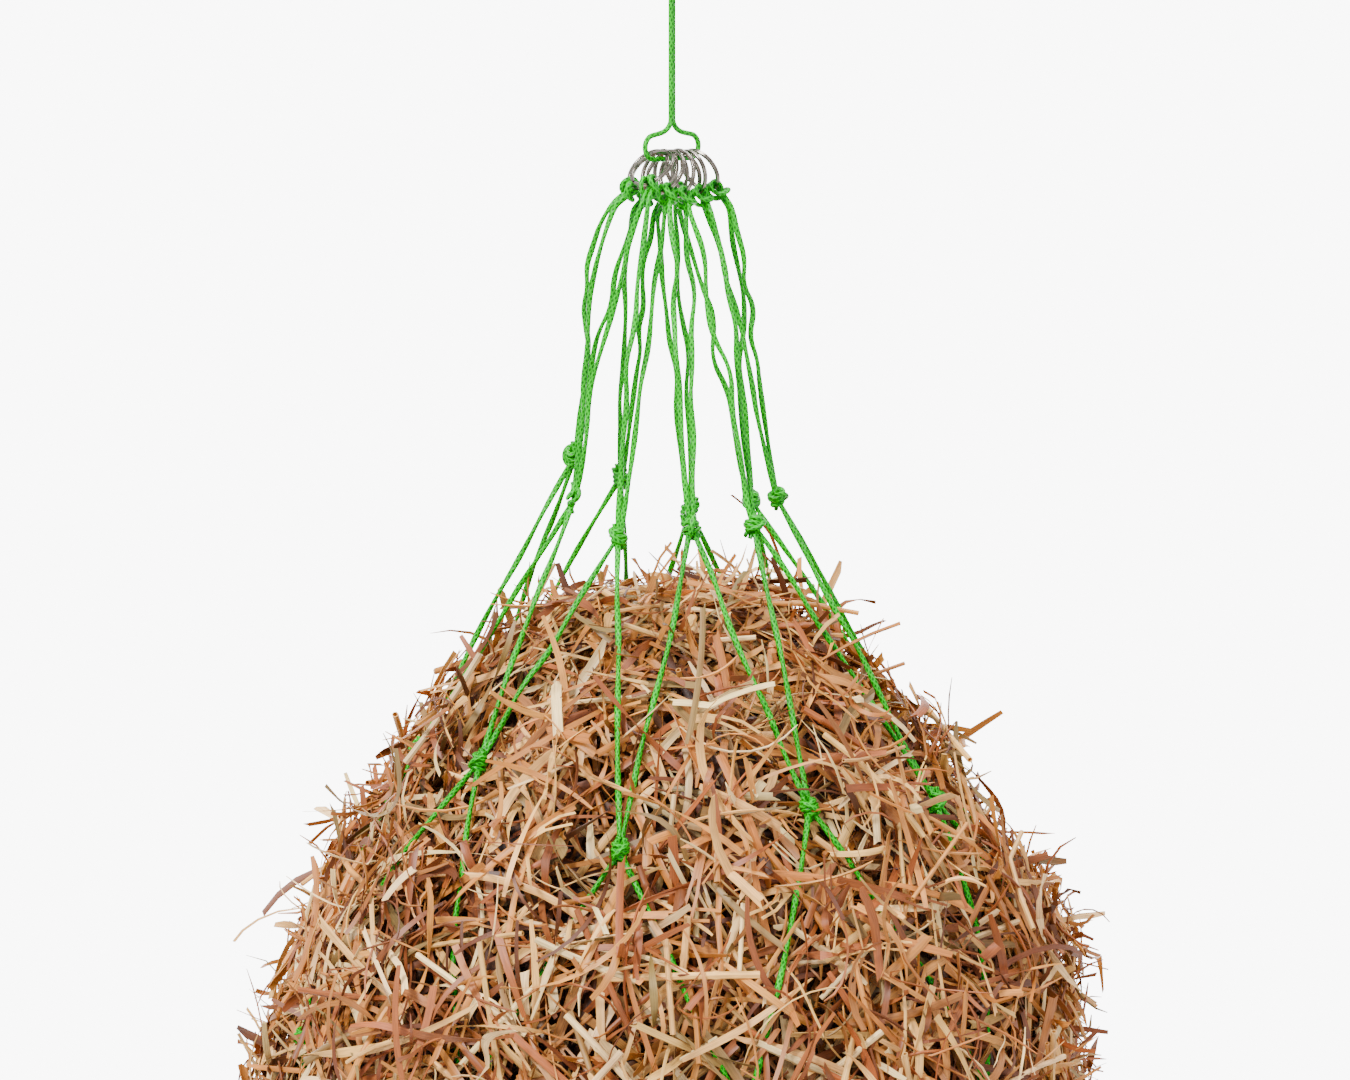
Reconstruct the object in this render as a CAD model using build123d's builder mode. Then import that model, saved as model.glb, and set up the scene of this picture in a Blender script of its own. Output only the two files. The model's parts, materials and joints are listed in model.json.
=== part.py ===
"""Hanging net feeder: a knotted twine bag on split rings, hung from its drawcord and filled with straw.

The bag is a diamond net of green braided twine. Every mesh at its mouth ends in a cow hitch on a split ring.
The drawcord runs through all the rings, so pulling it closes the mouth. It ends in a knotted hanging loop.
At the bottom the meshes are hitched to one welded ring.

Units are millimetres. +Z is up. The origin is the crown of the hanging loop, where a hook would bear.
Azimuths are degrees about +Z from +X. The side that is usually seen faces -Y.
"""

import os
from math import asin, atan2, cos, degrees, pi, radians, sin, sqrt, tan

from build123d import *

# Twine and net
TWINE_D = 2.6
MESHES = 9  # meshes round the bag, and rings at its mouth
MESH_STEP = 360 / MESHES
BAR_STANDOFF = 5.0  # from the straw's surface out to the middle of the twine
KNOT_CORE_R = 3.9
KNOT_WRAP_R = 3.3  # from the knot's middle to the middle of a wrapped turn
KNOT_TILT = 32
KNOT_SIDE = 1.75  # twine enters a knot this far to each side of its middle
KNOT_END = 2.3  # and this far above or below it
BAR_BOW = 1.0  # least bow of a bar that hangs clear of the straw

# Heights of the rows of knots, from the mouth down
MOUTH_ROW_Z = -321.0
MOUTH_ROW_R = 52.0
LEG_BOW = (1.5, 3.0, 2.0, 4.0, 6.0, 4.5, 2.5, 2.0, 3.0)  # slack of the mouth's pairs of twines, outwards
BAG_ROWS_Z = (-453.0, -578.0, -708.0, -836.0)
# How far each knot of a row sits above or below its row, as a filled net hangs unevenly
MOUTH_ROW_LIFT = (3, -3, -11, 7, 21, 3, -10, -4, -6)
BAG_ROW_LIFT = (1, -5, 3, -7, 6, 17, -12, 3, -9)
LIFT_SHIFT = 4  # each further row starts this much later in the same list

# Straw load: the outline that the net presses it to, from the rim of its flat top to that of its flat foot
STRAW_OUTLINE = (
    (42, -374),
    (80, -389),
    (104, -418),
    (128, -455),
    (160, -506),
    (186, -572),
    (200, -650),
    (199, -730),
    (172, -828),
    (110, -902),
    (36, -932),
)

# Split rings, two flat coils each
RING_OD = 24.0
RING_RADIAL = 1.4
RING_AXIAL = 2.0
RING_EDGE = 0.3
RING_SEAM = 0.25
RING_PITCH = 2.75  # between neighbouring rings, square to them, where they hang on the drawcord
RING_FAN_STEP = 9.5  # each ring leans this much further along the drawcord than the last
RING_FAN_LEAN = -10.0  # lean of the middle ring
RING_REST = 0.35  # gap between a ring and the drawcord that it hangs on
RING_SWING = 28.0  # alternate rings hang this far to the front and to the back

# Cow hitch: two turns of twine round the ring
HITCH_BORE_R = 1.35
HITCH_TURN_R = 1.15
HITCH_HALF = 1.2

# Drawcord
EYE_AZIMUTH = 45.0  # direction of the drawcord where it runs through the rings
EYE_Z = -150.0
# Half of the eye at the drawcord's foot, from its flat base up towards its neck: distance out and height
EYE_SIDE = ((14.7, 0.0), (18.0, 5.8), (14.5, 11.4))
EYE_NECK_H = 18.5
STRAND_AZIMUTH = 70.0  # the two strands lie side by side in this direction
STRAND_GAP = 0.15
BEND_SHARE = 0.45  # a bend takes up at most this much of the shorter run beside it

# Hanging loop and its knot
LOOP_HALF = 10.5
LOOP_SHOULDER_Z = -10.0
LOOP_CROWN_HALF = 5.2
KNOT_TOP_Z = -46.0
LOOP_KNOT_CORE_R = 4.6
LOOP_KNOT_TURNS = 3
LOOP_KNOT_BALL_R = 5.4

# Welded bottom ring
BOTTOM_RING_OD = 52.0
BOTTOM_WIRE_D = 4.0
BOTTOM_RING_Z = -943.0
BOTTOM_HITCH_CLEAR = 0.2
BOTTOM_HITCH_HALF = 1.35
BOTTOM_BOW = 21.0  # sag of the gathering twines below a straight line, down and outwards

TWINE_R = TWINE_D / 2
RING_R = (RING_OD - RING_RADIAL) / 2
HITCH_R = HITCH_BORE_R + HITCH_TURN_R
STRAND_OUT = TWINE_R + STRAND_GAP / 2

UP = Vector(0, 0, 1)
EYE_U = Vector(cos(radians(EYE_AZIMUTH)), sin(radians(EYE_AZIMUTH)), 0)
EYE_V = UP.cross(EYE_U)
STRAND_W = Vector(cos(radians(STRAND_AZIMUTH)), sin(radians(STRAND_AZIMUTH)), 0)

os.makedirs("parts", exist_ok=True)


def around(azimuth, radius, z):
    """Point at an azimuth, a radius from the bag's axis and a height."""
    return Vector(radius * cos(radians(azimuth)), radius * sin(radians(azimuth)), z)


def save(label, shape):
    """Labels a finished piece and writes it as one STEP file."""
    shape.label = label
    export_step(shape, f"parts/{label}.step")


def save_group(label, solids):
    """Writes several separate solids as one node."""
    save(label, Compound(children=solids))


def tube(wire_maker, radius=TWINE_R):
    """Round twine along the line that wire_maker draws in a BuildLine."""
    with BuildPart() as piece:
        with BuildLine() as route:
            wire_maker()
        with BuildSketch(Plane(origin=route.line @ 0, z_dir=route.line % 0)):
            Circle(radius)
        sweep()
    return piece.part


def arc_tube(start, middle, end, radius=TWINE_R):
    """Twine bent in one arc through three points."""
    return tube(lambda: ThreePointArc(start, middle, end), radius)


def route_radii(points):
    """Bend radius at each inner point, as large as its two runs allow."""
    radii = []
    for before, here, after in zip(points, points[1:], points[2:]):
        turn = radians((here - before).get_angle(after - here))
        run = min((here - before).length, (after - here).length)
        radii.append(BEND_SHARE * run / tan(turn / 2))
    return radii


def route_tube(name, points):
    """Twine along straight runs joined by tangent arcs. Prints its bend radii and length."""
    radii = route_radii(points)
    piece = tube(lambda: FilletPolyline(*points, radius=radii))
    length = piece.volume / (pi * TWINE_R**2)
    print(f"{name}: length {length:.0f} mm, radii {[round(r, 1) for r in radii]}")
    return piece


# --- Straw load -----------------------------------------------------------------------------------

with BuildPart() as straw_fill:
    with BuildSketch(Plane.XZ) as straw_section:
        with BuildLine() as straw_line:
            straw_side = Spline(*STRAW_OUTLINE)
            Polyline(straw_side @ 1, (0, STRAW_OUTLINE[-1][1]), (0, STRAW_OUTLINE[0][1]), straw_side @ 0)
        make_face()
    revolve(axis=Axis.Z)
save("straw_fill", straw_fill.part)


def straw_radius(z):
    """Radius of the straw load at a height, read from its outline."""
    low, high = 0.0, 1.0
    while high - low > 1e-5:
        middle = (low + high) / 2
        if (straw_side @ middle).Y > z:
            low = middle
        else:
            high = middle
    return (straw_side @ low).X


# --- Drawcord and hanging loop --------------------------------------------------------------------

loop_points = [
    Vector(-STRAND_OUT, 0, KNOT_TOP_Z),
    Vector(-LOOP_HALF, 0, LOOP_SHOULDER_Z),
    Vector(-LOOP_CROWN_HALF, 0, TWINE_R),
    Vector(LOOP_CROWN_HALF, 0, TWINE_R),
    Vector(LOOP_HALF, 0, LOOP_SHOULDER_Z),
    Vector(STRAND_OUT, 0, KNOT_TOP_Z),
]
save("hanging_loop", route_tube("hanging_loop", loop_points))

# The knot's foot is a ball, so that the cord below can sway about the ball's centre.
knot_turns_h = LOOP_KNOT_TURNS * TWINE_D
sway_z = KNOT_TOP_Z - knot_turns_h
with BuildPart() as loop_knot:
    with BuildSketch(Plane.XY.offset(KNOT_TOP_Z)):
        Circle(LOOP_KNOT_CORE_R)
    extrude(amount=-knot_turns_h)
    for turn in range(LOOP_KNOT_TURNS):
        with Locations((0, 0, KNOT_TOP_Z - (turn + 0.5) * TWINE_D)):
            Torus(LOOP_KNOT_CORE_R, TWINE_R)
    with Locations((0, 0, sway_z)):
        Sphere(LOOP_KNOT_BALL_R)
save("loop_knot", loop_knot.part)

strand_top = sway_z - sqrt((LOOP_KNOT_BALL_R + STRAND_GAP) ** 2 - (STRAND_OUT - TWINE_R) ** 2)
eye_z = Vector(0, 0, EYE_Z)
neck_z = UP * (EYE_Z + EYE_NECK_H)
half_route = [
    STRAND_W * -STRAND_OUT + UP * strand_top,
    STRAND_W * -STRAND_OUT + neck_z,
    *(EYE_U * -out + UP * (EYE_Z + height) for out, height in reversed(EYE_SIDE)),
]
other_half = [Vector(-p.X, -p.Y, p.Z) for p in reversed(half_route)]
save("drawcord", route_tube("drawcord", half_route + other_half))

# --- Split rings, their cow hitches and the twine that runs down from them ------------------------

mouth_azimuths = [MESH_STEP * i for i in range(MESHES)]
mouth_knots = [
    around(azimuth, MOUTH_ROW_R, MOUTH_ROW_Z + lift) for azimuth, lift in zip(mouth_azimuths, MOUTH_ROW_LIFT)
]


def fan_lean(seat):
    """Angle, in radians, by which the ring at this seat leans along the drawcord."""
    return radians(RING_FAN_LEAN + (seat - (MESHES - 1) / 2) * RING_FAN_STEP)


def seat_place(seat):
    """Distance of a seat from the first along the drawcord, further apart where the rings lean more."""
    return sum(RING_PITCH / cos((fan_lean(s) + fan_lean(s + 1)) / 2) for s in range(seat))


def ring_frame(seat):
    """Plane of the split ring at this seat: origin at its centre, X to its hitch, Z along its axis.

    The ring leans along the drawcord, and its hitch is swung round it to the front or to the back.
    """
    lean = fan_lean(seat)
    side = -1 if seat % 2 == 0 else 1
    leaning_down = EYE_U * sin(lean) - UP * cos(lean)
    hang = leaning_down * cos(radians(RING_SWING)) + EYE_V * (side * sin(radians(RING_SWING)))
    on_cord = eye_z + EYE_U * (seat_place(seat) - seat_place(MESHES - 1) / 2)
    rise = TWINE_R / cos(lean) + RING_AXIAL / 2 * tan(abs(lean)) + RING_REST + RING_RADIAL / 2
    axis = EYE_U * cos(lean) + UP * sin(lean)
    return Plane(origin=on_cord + hang * (RING_R - rise), x_dir=hang, z_dir=axis)


def split_ring(frame):
    """Two flat coils with a seam between them and a step where the wire ends."""
    section = Plane(origin=frame.origin, x_dir=frame.x_dir, z_dir=frame.x_dir.cross(frame.z_dir))
    with BuildPart() as ring:
        with BuildSketch(section):
            with Locations((RING_R, 0)):
                RectangleRounded(RING_RADIAL, RING_AXIAL, RING_EDGE)
            with Locations((RING_R - RING_RADIAL / 2, 0), (RING_R + RING_RADIAL / 2, 0)):
                Rectangle(RING_SEAM, RING_SEAM, rotation=45, mode=Mode.SUBTRACT)
        revolve(axis=Axis(frame.origin, frame.z_dir))
        end_gap = Plane(
            origin=frame.origin + frame.y_dir * RING_R + frame.z_dir * RING_AXIAL / 4,
            x_dir=frame.y_dir,
            z_dir=frame.z_dir,
        )
        with Locations(end_gap):
            Box(2 * RING_RADIAL, RING_SEAM * 2, RING_AXIAL / 2, mode=Mode.SUBTRACT)
    return ring.part


def cow_hitch(centre, hang, axis, wire_r, bore_r, turn_r, half):
    """Two turns of twine round a ring's wire at its hang point, with the bight that crosses them."""
    along = axis.cross(hang)
    turn_out = bore_r + turn_r
    tilt = asin(half / wire_r)
    with BuildPart() as hitch:
        for side in (-1, 1):
            place = centre + (hang * cos(tilt) + along * (side * sin(tilt))) * wire_r
            direction = along * cos(tilt) - hang * (side * sin(tilt))
            with Locations(Plane(origin=place, x_dir=axis, z_dir=direction)):
                Torus(turn_out, turn_r)
        bight = centre + hang * wire_r + (axis + hang).normalized() * turn_out
        with Locations(Plane(origin=bight, x_dir=axis, z_dir=along)):
            Cylinder(turn_r, 2 * half)
    return hitch.part


# Going round the mouth, the rings take alternate seats along the drawcord: front row out, back row home.
front_seats = list(range(0, MESHES, 2))
back_seats = list(range(MESHES - 2, 0, -2))
first_front = front_seats.index(MESHES - 1)
seat_order = front_seats[first_front:] + back_seats + front_seats[:first_front]

ring_frames = []
for i, seat in enumerate(seat_order):
    frame = ring_frame(seat)
    ring_frames.append(frame)
    save(f"split_ring_{i + 1}", split_ring(frame))
    hitch = cow_hitch(frame.origin, frame.x_dir, frame.z_dir, RING_R, HITCH_BORE_R, HITCH_TURN_R, HITCH_HALF)
    save(f"cow_hitch_{i + 1}", hitch)
    print(f"ring {i + 1}: centre {tuple(frame.origin)} axis {tuple(frame.z_dir)}")


def beside_knot(knot, other, up):
    """Where a twine enters a knot: on the side that faces the twine's other end."""
    outward = Vector(knot.X, knot.Y, 0).normalized()
    sideways = UP.cross(outward)
    side = 1 if sideways.dot(other - knot) > 0 else -1
    return knot + sideways * (side * KNOT_SIDE) + UP * (KNOT_END if up else -KNOT_END)


for i, frame in enumerate(ring_frames):
    foot = frame.origin + frame.x_dir * (RING_R + HITCH_R)
    ends = (mouth_knots[i], mouth_knots[(i + 1) % MESHES])
    spread = frame.y_dir if frame.y_dir.dot(ends[1] - ends[0]) > 0 else frame.y_dir * -1
    strands = []
    for side, knot, other in ((-1, ends[0], ends[1]), (1, ends[1], ends[0])):
        start = foot + spread * (side * (TWINE_R + STRAND_GAP))
        end = beside_knot(knot, other, up=True)
        middle = (start + end) * 0.5
        outward = Vector(middle.X, middle.Y, 0).normalized()
        strands.append(arc_tube(start, middle + outward * LEG_BOW[i], end))
    save_group(f"mouth_twines_{i + 1}", strands)

# --- Rows of knots and of bars --------------------------------------------------------------------


def twine_knot():
    """One netting knot, upright at the origin and facing +X: two crossed turns over a core."""
    with BuildPart() as knot:
        Sphere(KNOT_CORE_R)
        for tilt in (-KNOT_TILT, KNOT_TILT):
            with Locations(Location((0, 0, 0), (tilt, 0, 0))):
                Torus(KNOT_WRAP_R, TWINE_R)
    return knot.part


knot_pattern = twine_knot()


def knots_at(places):
    """Copies of the netting knot, each facing away from the bag's axis."""
    made = []
    for place in places:
        azimuth = degrees(atan2(place.Y, place.X))
        made.append(knot_pattern.moved(Location(tuple(place), (0, 0, azimuth))).solid())
    return made


rows = [mouth_knots]
for number, row_z in enumerate(BAG_ROWS_Z):
    half_step = MESH_STEP / 2 if number % 2 == 0 else 0
    row = []
    for i in range(MESHES):
        z = row_z + BAG_ROW_LIFT[(i + number * LIFT_SHIFT) % MESHES]
        row.append(around(half_step + MESH_STEP * i, straw_radius(z) + BAR_STANDOFF, z))
    rows.append(row)

for number, row in enumerate(rows):
    save_group(f"row_{number + 1}_knots", knots_at(row))


def pairs_below(number):
    """For each knot of a row, the two knots of the next row that its bars run down to."""
    for i, knot in enumerate(rows[number]):
        first = i - 1 if number % 2 == 0 else i
        for j in (first, first + 1):
            yield knot, rows[number + 1][j % MESHES]


def bar(upper, lower):
    """Twine between two knots, bowed out over the straw."""
    start = beside_knot(upper, lower, up=False)
    end = beside_knot(lower, upper, up=True)
    middle = (start + end) * 0.5
    free = sqrt(middle.X**2 + middle.Y**2)
    radius = max(straw_radius(middle.Z) + BAR_STANDOFF, free + BAR_BOW)
    return arc_tube(start, around(degrees(atan2(middle.Y, middle.X)), radius, middle.Z), end)


for number in range(len(rows) - 1):
    save_group(f"row_{number + 1}_bars", [bar(upper, lower) for upper, lower in pairs_below(number)])

# --- Bottom ring and the twine that gathers the last row on it ------------------------------------

bottom_r = (BOTTOM_RING_OD - BOTTOM_WIRE_D) / 2
with BuildPart() as bottom_ring:
    with Locations((0, 0, BOTTOM_RING_Z)):
        Torus(bottom_r, BOTTOM_WIRE_D / 2)
save("bottom_ring", bottom_ring.part)

bottom_bore = BOTTOM_WIRE_D / 2 + BOTTOM_HITCH_CLEAR
last_row = rows[-1]
last_half_step = MESH_STEP / 2 if len(rows) % 2 == 0 else 0
ring_centre = Vector(0, 0, BOTTOM_RING_Z)
bottom_hitches = []
bottom_twines = []
for i in range(MESHES):
    azimuth = last_half_step + MESH_STEP * (i + 0.5)
    outward = around(azimuth, 1, 0)
    bottom_hitches.append(
        cow_hitch(ring_centre, outward, UP * -1, bottom_r, bottom_bore, TWINE_R, BOTTOM_HITCH_HALF)
    )
    foot = around(azimuth, bottom_r + bottom_bore + TWINE_R, BOTTOM_RING_Z)
    for side, knot in ((-1, last_row[i]), (1, last_row[(i + 1) % MESHES])):
        start = foot + UP.cross(outward) * (side * (TWINE_R + STRAND_GAP))
        other = foot + UP.cross(outward) * (side * -MESH_STEP)
        end = beside_knot(knot, other, up=False)
        middle = (start + end) * 0.5
        low = middle - UP * BOTTOM_BOW + around(degrees(atan2(middle.Y, middle.X)), BOTTOM_BOW, 0)
        bottom_twines.append(arc_tube(start, low, end))
save_group("bottom_hitches", bottom_hitches)
save_group("bottom_twines", bottom_twines)
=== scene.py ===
"""Hanging net feeder: braided twine net gathered on split rings, packed with chopped straw.

Every length is in metres in the model's own frame: +Z up, origin in the crown of the hanging loop, front facing -Y.
Classes build the sub-assemblies in the order that a maker would: rings, drawcord, net, straw.
"""

import json
import logging
import math
from collections.abc import Callable
from dataclasses import dataclass, field
from enum import Enum

import bpy
import numpy as np
from mathutils import Matrix, Vector
from mathutils.kdtree import KDTree


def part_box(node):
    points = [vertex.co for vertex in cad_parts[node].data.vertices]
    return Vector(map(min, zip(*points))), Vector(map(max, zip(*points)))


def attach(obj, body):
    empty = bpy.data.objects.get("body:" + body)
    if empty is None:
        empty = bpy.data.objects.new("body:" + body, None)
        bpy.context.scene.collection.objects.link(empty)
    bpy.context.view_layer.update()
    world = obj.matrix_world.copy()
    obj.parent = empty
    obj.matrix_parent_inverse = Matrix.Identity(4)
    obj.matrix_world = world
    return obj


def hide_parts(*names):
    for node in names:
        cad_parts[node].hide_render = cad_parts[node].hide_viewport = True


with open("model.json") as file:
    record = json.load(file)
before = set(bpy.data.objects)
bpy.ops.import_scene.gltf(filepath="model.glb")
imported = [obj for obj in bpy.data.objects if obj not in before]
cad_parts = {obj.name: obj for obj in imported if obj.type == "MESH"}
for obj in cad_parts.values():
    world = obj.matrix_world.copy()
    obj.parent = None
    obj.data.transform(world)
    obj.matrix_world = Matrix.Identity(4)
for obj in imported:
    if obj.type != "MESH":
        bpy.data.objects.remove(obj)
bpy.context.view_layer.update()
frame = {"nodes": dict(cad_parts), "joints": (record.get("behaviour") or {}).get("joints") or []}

log = logging.getLogger("net_feeder")
Array = np.ndarray
MM = 0.001
UP = Vector((0, 0, 1))

MESHES = 9
MESH_STEP = 360 / MESHES
KNOT_ROWS = 5
TWINE_R = 1.3 * MM
TWINE_OVAL = (1.18, 0.84)  # the net's twine lies flattened: how much wider and thinner than round it is
ROUND = (1.0, 1.0)
OVAL_TURN_MM = 85.0  # the flattened twine makes one turn in this length
ANY_WAY = (0.31, 0.17, 0.93)  # a direction that no twine starts along
MODEL_AXES = (Vector((1, 0, 0)), Vector((0, 1, 0)), UP)
CORD_SIDES = 14
CORD_TINT = (0.95, 1.0, 1.05)


# --- Shapes and meshes --------------------------------------------------------------------------------------------


@dataclass
class Shape:
    """A small closed mesh as arrays: vertices, the faces' corners, the corners in each face, and a UV per corner."""

    verts: Array
    corners: Array
    totals: Array
    uv: Array


@dataclass
class Batch:
    """Many shapes gathered into one mesh, each with its own tint."""

    verts: list[Array] = field(default_factory=list)
    corners: list[Array] = field(default_factory=list)
    totals: list[Array] = field(default_factory=list)
    uvs: list[Array] = field(default_factory=list)
    tints: list[Array] = field(default_factory=list)
    used: int = 0

    def add(self, shape: Shape, tint: tuple[float, ...] | Array = (1, 1, 1)) -> None:
        """Adds one shape in one tint."""
        self.add_copies(shape.verts[None], shape, shape.uv[None], np.asarray(tint, dtype=float)[None, :3])

    def add_copies(self, verts: Array, shape: Shape, uv: Array, tints: Array) -> None:
        """Adds bent and placed copies of one shape.

        Args:
            verts: The copies' vertices, as copies by vertices by 3.
            shape: The shape that gives the faces.
            uv: The copies' UVs, as copies by corners by 2.
            tints: One linear colour per copy.
        """
        copies, count, _ = verts.shape
        starts = self.used + np.arange(copies)[:, None] * count
        self.verts.append(verts.reshape(-1, 3))
        self.corners.append((starts + shape.corners[None]).ravel())
        self.totals.append(np.tile(shape.totals, copies))
        self.uvs.append(uv.reshape(-1, 2))
        rgba = np.ones((copies, count, 4))
        rgba[:, :, :3] = tints[:, None, :]
        self.tints.append(rgba.reshape(-1, 4))
        self.used += copies * count

    def build(self, name: str, smooth_deg: float = 180.0) -> bpy.types.Object:
        """Makes the gathered shapes one mesh object.

        Args:
            name: The object's name.
            smooth_deg: Edges sharper than this stay crisp.

        Returns:
            The new object, at the origin.
        """
        verts = np.concatenate(self.verts)
        corners = np.concatenate(self.corners)
        totals = np.concatenate(self.totals)
        mesh = bpy.data.meshes.new(name)
        mesh.vertices.add(len(verts))
        mesh.vertices.foreach_set("co", verts.ravel())
        mesh.loops.add(len(corners))
        mesh.loops.foreach_set("vertex_index", corners.astype(np.int32))
        mesh.polygons.add(len(totals))
        mesh.polygons.foreach_set("loop_start", (np.cumsum(totals) - totals).astype(np.int32))
        mesh.update(calc_edges=True)
        layer = mesh.uv_layers.new(name="UVMap")
        layer.data.foreach_set("uv", np.concatenate(self.uvs).ravel())
        tint = mesh.color_attributes.new("tint", "FLOAT_COLOR", "POINT")
        tint.data.foreach_set("color", np.concatenate(self.tints).ravel())
        piece = bpy.data.objects.new(name, mesh)
        bpy.context.collection.objects.link(piece)
        select_only(piece)
        if smooth_deg >= 180:
            bpy.ops.object.shade_smooth()
        else:
            bpy.ops.object.shade_smooth_by_angle(angle=math.radians(smooth_deg))
        return piece


def select_only(piece: bpy.types.Object) -> None:
    """Deselects everything and makes one object selected and active."""
    bpy.ops.object.select_all(action="DESELECT")
    piece.select_set(True)
    bpy.context.view_layer.objects.active = piece


def pick(piece: bpy.types.Object, test: Callable[[Vector], bool]) -> None:
    """In edit mode, selects just the vertices whose place passes a test, and the faces between them.

    Args:
        piece: The object being edited.
        test: Takes a vertex's place and says whether it is selected.
    """
    bpy.ops.mesh.select_mode(type="VERT")
    bpy.ops.mesh.select_all(action="DESELECT")
    bpy.ops.object.mode_set(mode="OBJECT")
    for vertex in piece.data.vertices:
        vertex.select = test(vertex.co)
    bpy.ops.object.mode_set(mode="EDIT")


def take_shape(piece: bpy.types.Object) -> Shape:
    """Reads an object's mesh into a Shape and deletes the object."""
    mesh = piece.data
    verts = np.array([v.co[:] for v in mesh.vertices])
    corners = np.array([i for p in mesh.polygons for i in p.vertices])
    totals = np.array([len(p.vertices) for p in mesh.polygons])
    along = verts[corners, 0]
    across = verts[corners, 1] + verts[corners, 2]
    bpy.data.objects.remove(piece)
    return Shape(verts, corners, totals, np.stack([along, across], axis=1))


def spline_line(points: list[Vector], closed: bool = False, per_span: int = 6) -> Array:
    """Points along the smooth NURBS line that a list of control points gives.

    Args:
        points: The control points.
        closed: True joins the last point to the first.
        per_span: Points read per control point.

    Returns:
        The points, as an array of rows.
    """
    curve = bpy.data.curves.new("route", "CURVE")
    curve.dimensions = "3D"
    spline = curve.splines.new("NURBS")
    spline.points.add(len(points) - 1)
    for control, point in zip(spline.points, points):
        control.co = (*point, 1)
    spline.use_cyclic_u = closed
    spline.order_u = 3
    spline.use_endpoint_u = not closed
    spline.resolution_u = per_span
    holder = bpy.data.objects.new("route", curve)
    mesh = bpy.data.meshes.new_from_object(holder)
    line = np.array([v.co[:] for v in mesh.vertices])
    bpy.data.objects.remove(holder)
    bpy.data.curves.remove(curve)
    bpy.data.meshes.remove(mesh)
    return line


def sweep(line: Array, sides: int = 10, closed: bool = False, oval: tuple[float, float] = TWINE_OVAL) -> Shape:
    """Twine along a line, capped at its ends unless the line is closed.

    Args:
        line: The points that it follows.
        sides: Facets round it.
        closed: True joins the end to the start.
        oval: How much wider and thinner than round it is. The oval turns slowly along an open line.

    Returns:
        The tube, with U in turns round it and V in millimetres along it.
    """
    count = len(line)
    ahead = np.roll(line, -1, axis=0) - np.roll(line, 1, axis=0)
    if not closed:
        ahead[0], ahead[-1] = line[1] - line[0], line[-1] - line[-2]
    ahead /= np.linalg.norm(ahead, axis=1)[:, None]
    side = np.cross(ahead[0], ANY_WAY)
    sides_at = []
    for direction in ahead:
        side = side - direction * side.dot(direction)
        side = side / np.linalg.norm(side)
        sides_at.append(side)
    first = np.array(sides_at)
    second = np.cross(ahead, first)
    turns = np.arange(sides) / sides
    angle = turns * 2 * math.pi
    steps = np.linalg.norm(np.diff(line, axis=0), axis=1)
    reach = np.concatenate([[0], np.cumsum(steps)]) / MM
    phase = np.zeros(count) if closed else reach / OVAL_TURN_MM * 2 * math.pi
    wide = np.cos(phase)[:, None] * first + np.sin(phase)[:, None] * second
    thin = np.cross(ahead, wide)
    ring = np.cos(angle)[None, :, None] * wide[:, None] * oval[0]
    ring = ring + np.sin(angle)[None, :, None] * thin[:, None] * oval[1]
    verts = (line[:, None] + ring * TWINE_R).reshape(-1, 3)
    i = np.repeat(np.arange(count if closed else count - 1), sides)
    k = np.tile(np.arange(sides), len(i) // sides)
    j = (i + 1) % count
    n = (k + 1) % sides
    quads = np.stack([i * sides + k, i * sides + n, j * sides + n, j * sides + k], axis=1)
    near, far = reach[i], reach[i] + np.linalg.norm(line[j] - line[i], axis=1) / MM
    u0, u1 = k / sides, (k + 1) / sides
    uv = np.stack([u0, near, u1, near, u1, far, u0, far], axis=1).reshape(-1, 2)
    corners, totals = quads.ravel(), np.full(len(quads), 4)
    if not closed:
        start, end = np.arange(sides)[::-1], (count - 1) * sides + np.arange(sides)
        corners = np.concatenate([corners, start, end])
        totals = np.concatenate([totals, [sides, sides]])
        uv = np.concatenate([uv, np.zeros((2 * sides, 2))])
    return Shape(verts, corners, totals, uv)


def placed(points: list[tuple[float, float, float]], at: Vector, axes: tuple[Vector, Vector, Vector]) -> list[Vector]:
    """Moves points in millimetres from a piece's own axes to where it is.

    Args:
        points: Points along the piece's own three axes.
        at: The piece's origin in the model.
        axes: The piece's own axes in the model.

    Returns:
        The points in the model, in metres.
    """
    return [at + (axes[0] * a + axes[1] * b + axes[2] * c) * MM for a, b, c in points]


# --- Finishes -----------------------------------------------------------------------------------------------------


def linear(hex_colour: str) -> tuple[float, float, float, float]:
    """Turns an sRGB hex colour into linear red, green, blue and alpha."""
    parts = [int(hex_colour[i : i + 2], 16) / 255 for i in (0, 2, 4)]
    return (*(c / 12.92 if c <= 0.04045 else ((c + 0.055) / 1.055) ** 2.4 for c in parts), 1.0)


def set_up(
    owner: bpy.types.ID, node: bpy.types.Node, settings: dict | None = None, links: dict | None = None
) -> bpy.types.Node:
    """Sets a shader node's values and joins its inputs.

    Args:
        owner: The material, or the world, that it is in.
        node: The node.
        settings: Attribute names, or input names and numbers, with their values.
        links: Input names or numbers, with the sockets that feed them, or nodes whose first output does.

    Returns:
        The node.
    """
    for key, value in (settings or {}).items():
        if isinstance(key, str) and hasattr(node, key):
            setattr(node, key, value)
        else:
            node.inputs[key].default_value = value
    for key, source in (links or {}).items():
        socket = source if isinstance(source, bpy.types.NodeSocket) else source.outputs[0]
        owner.node_tree.links.new(socket, node.inputs[key])
    return node


def add_node(
    owner: bpy.types.ID, kind: str, settings: dict | None = None, links: dict | None = None
) -> bpy.types.Node:
    """Adds a shader node of a kind, named without the prefix that all shader nodes share, and sets it up."""
    return set_up(owner, owner.node_tree.nodes.new("ShaderNode" + kind), settings, links)


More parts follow.
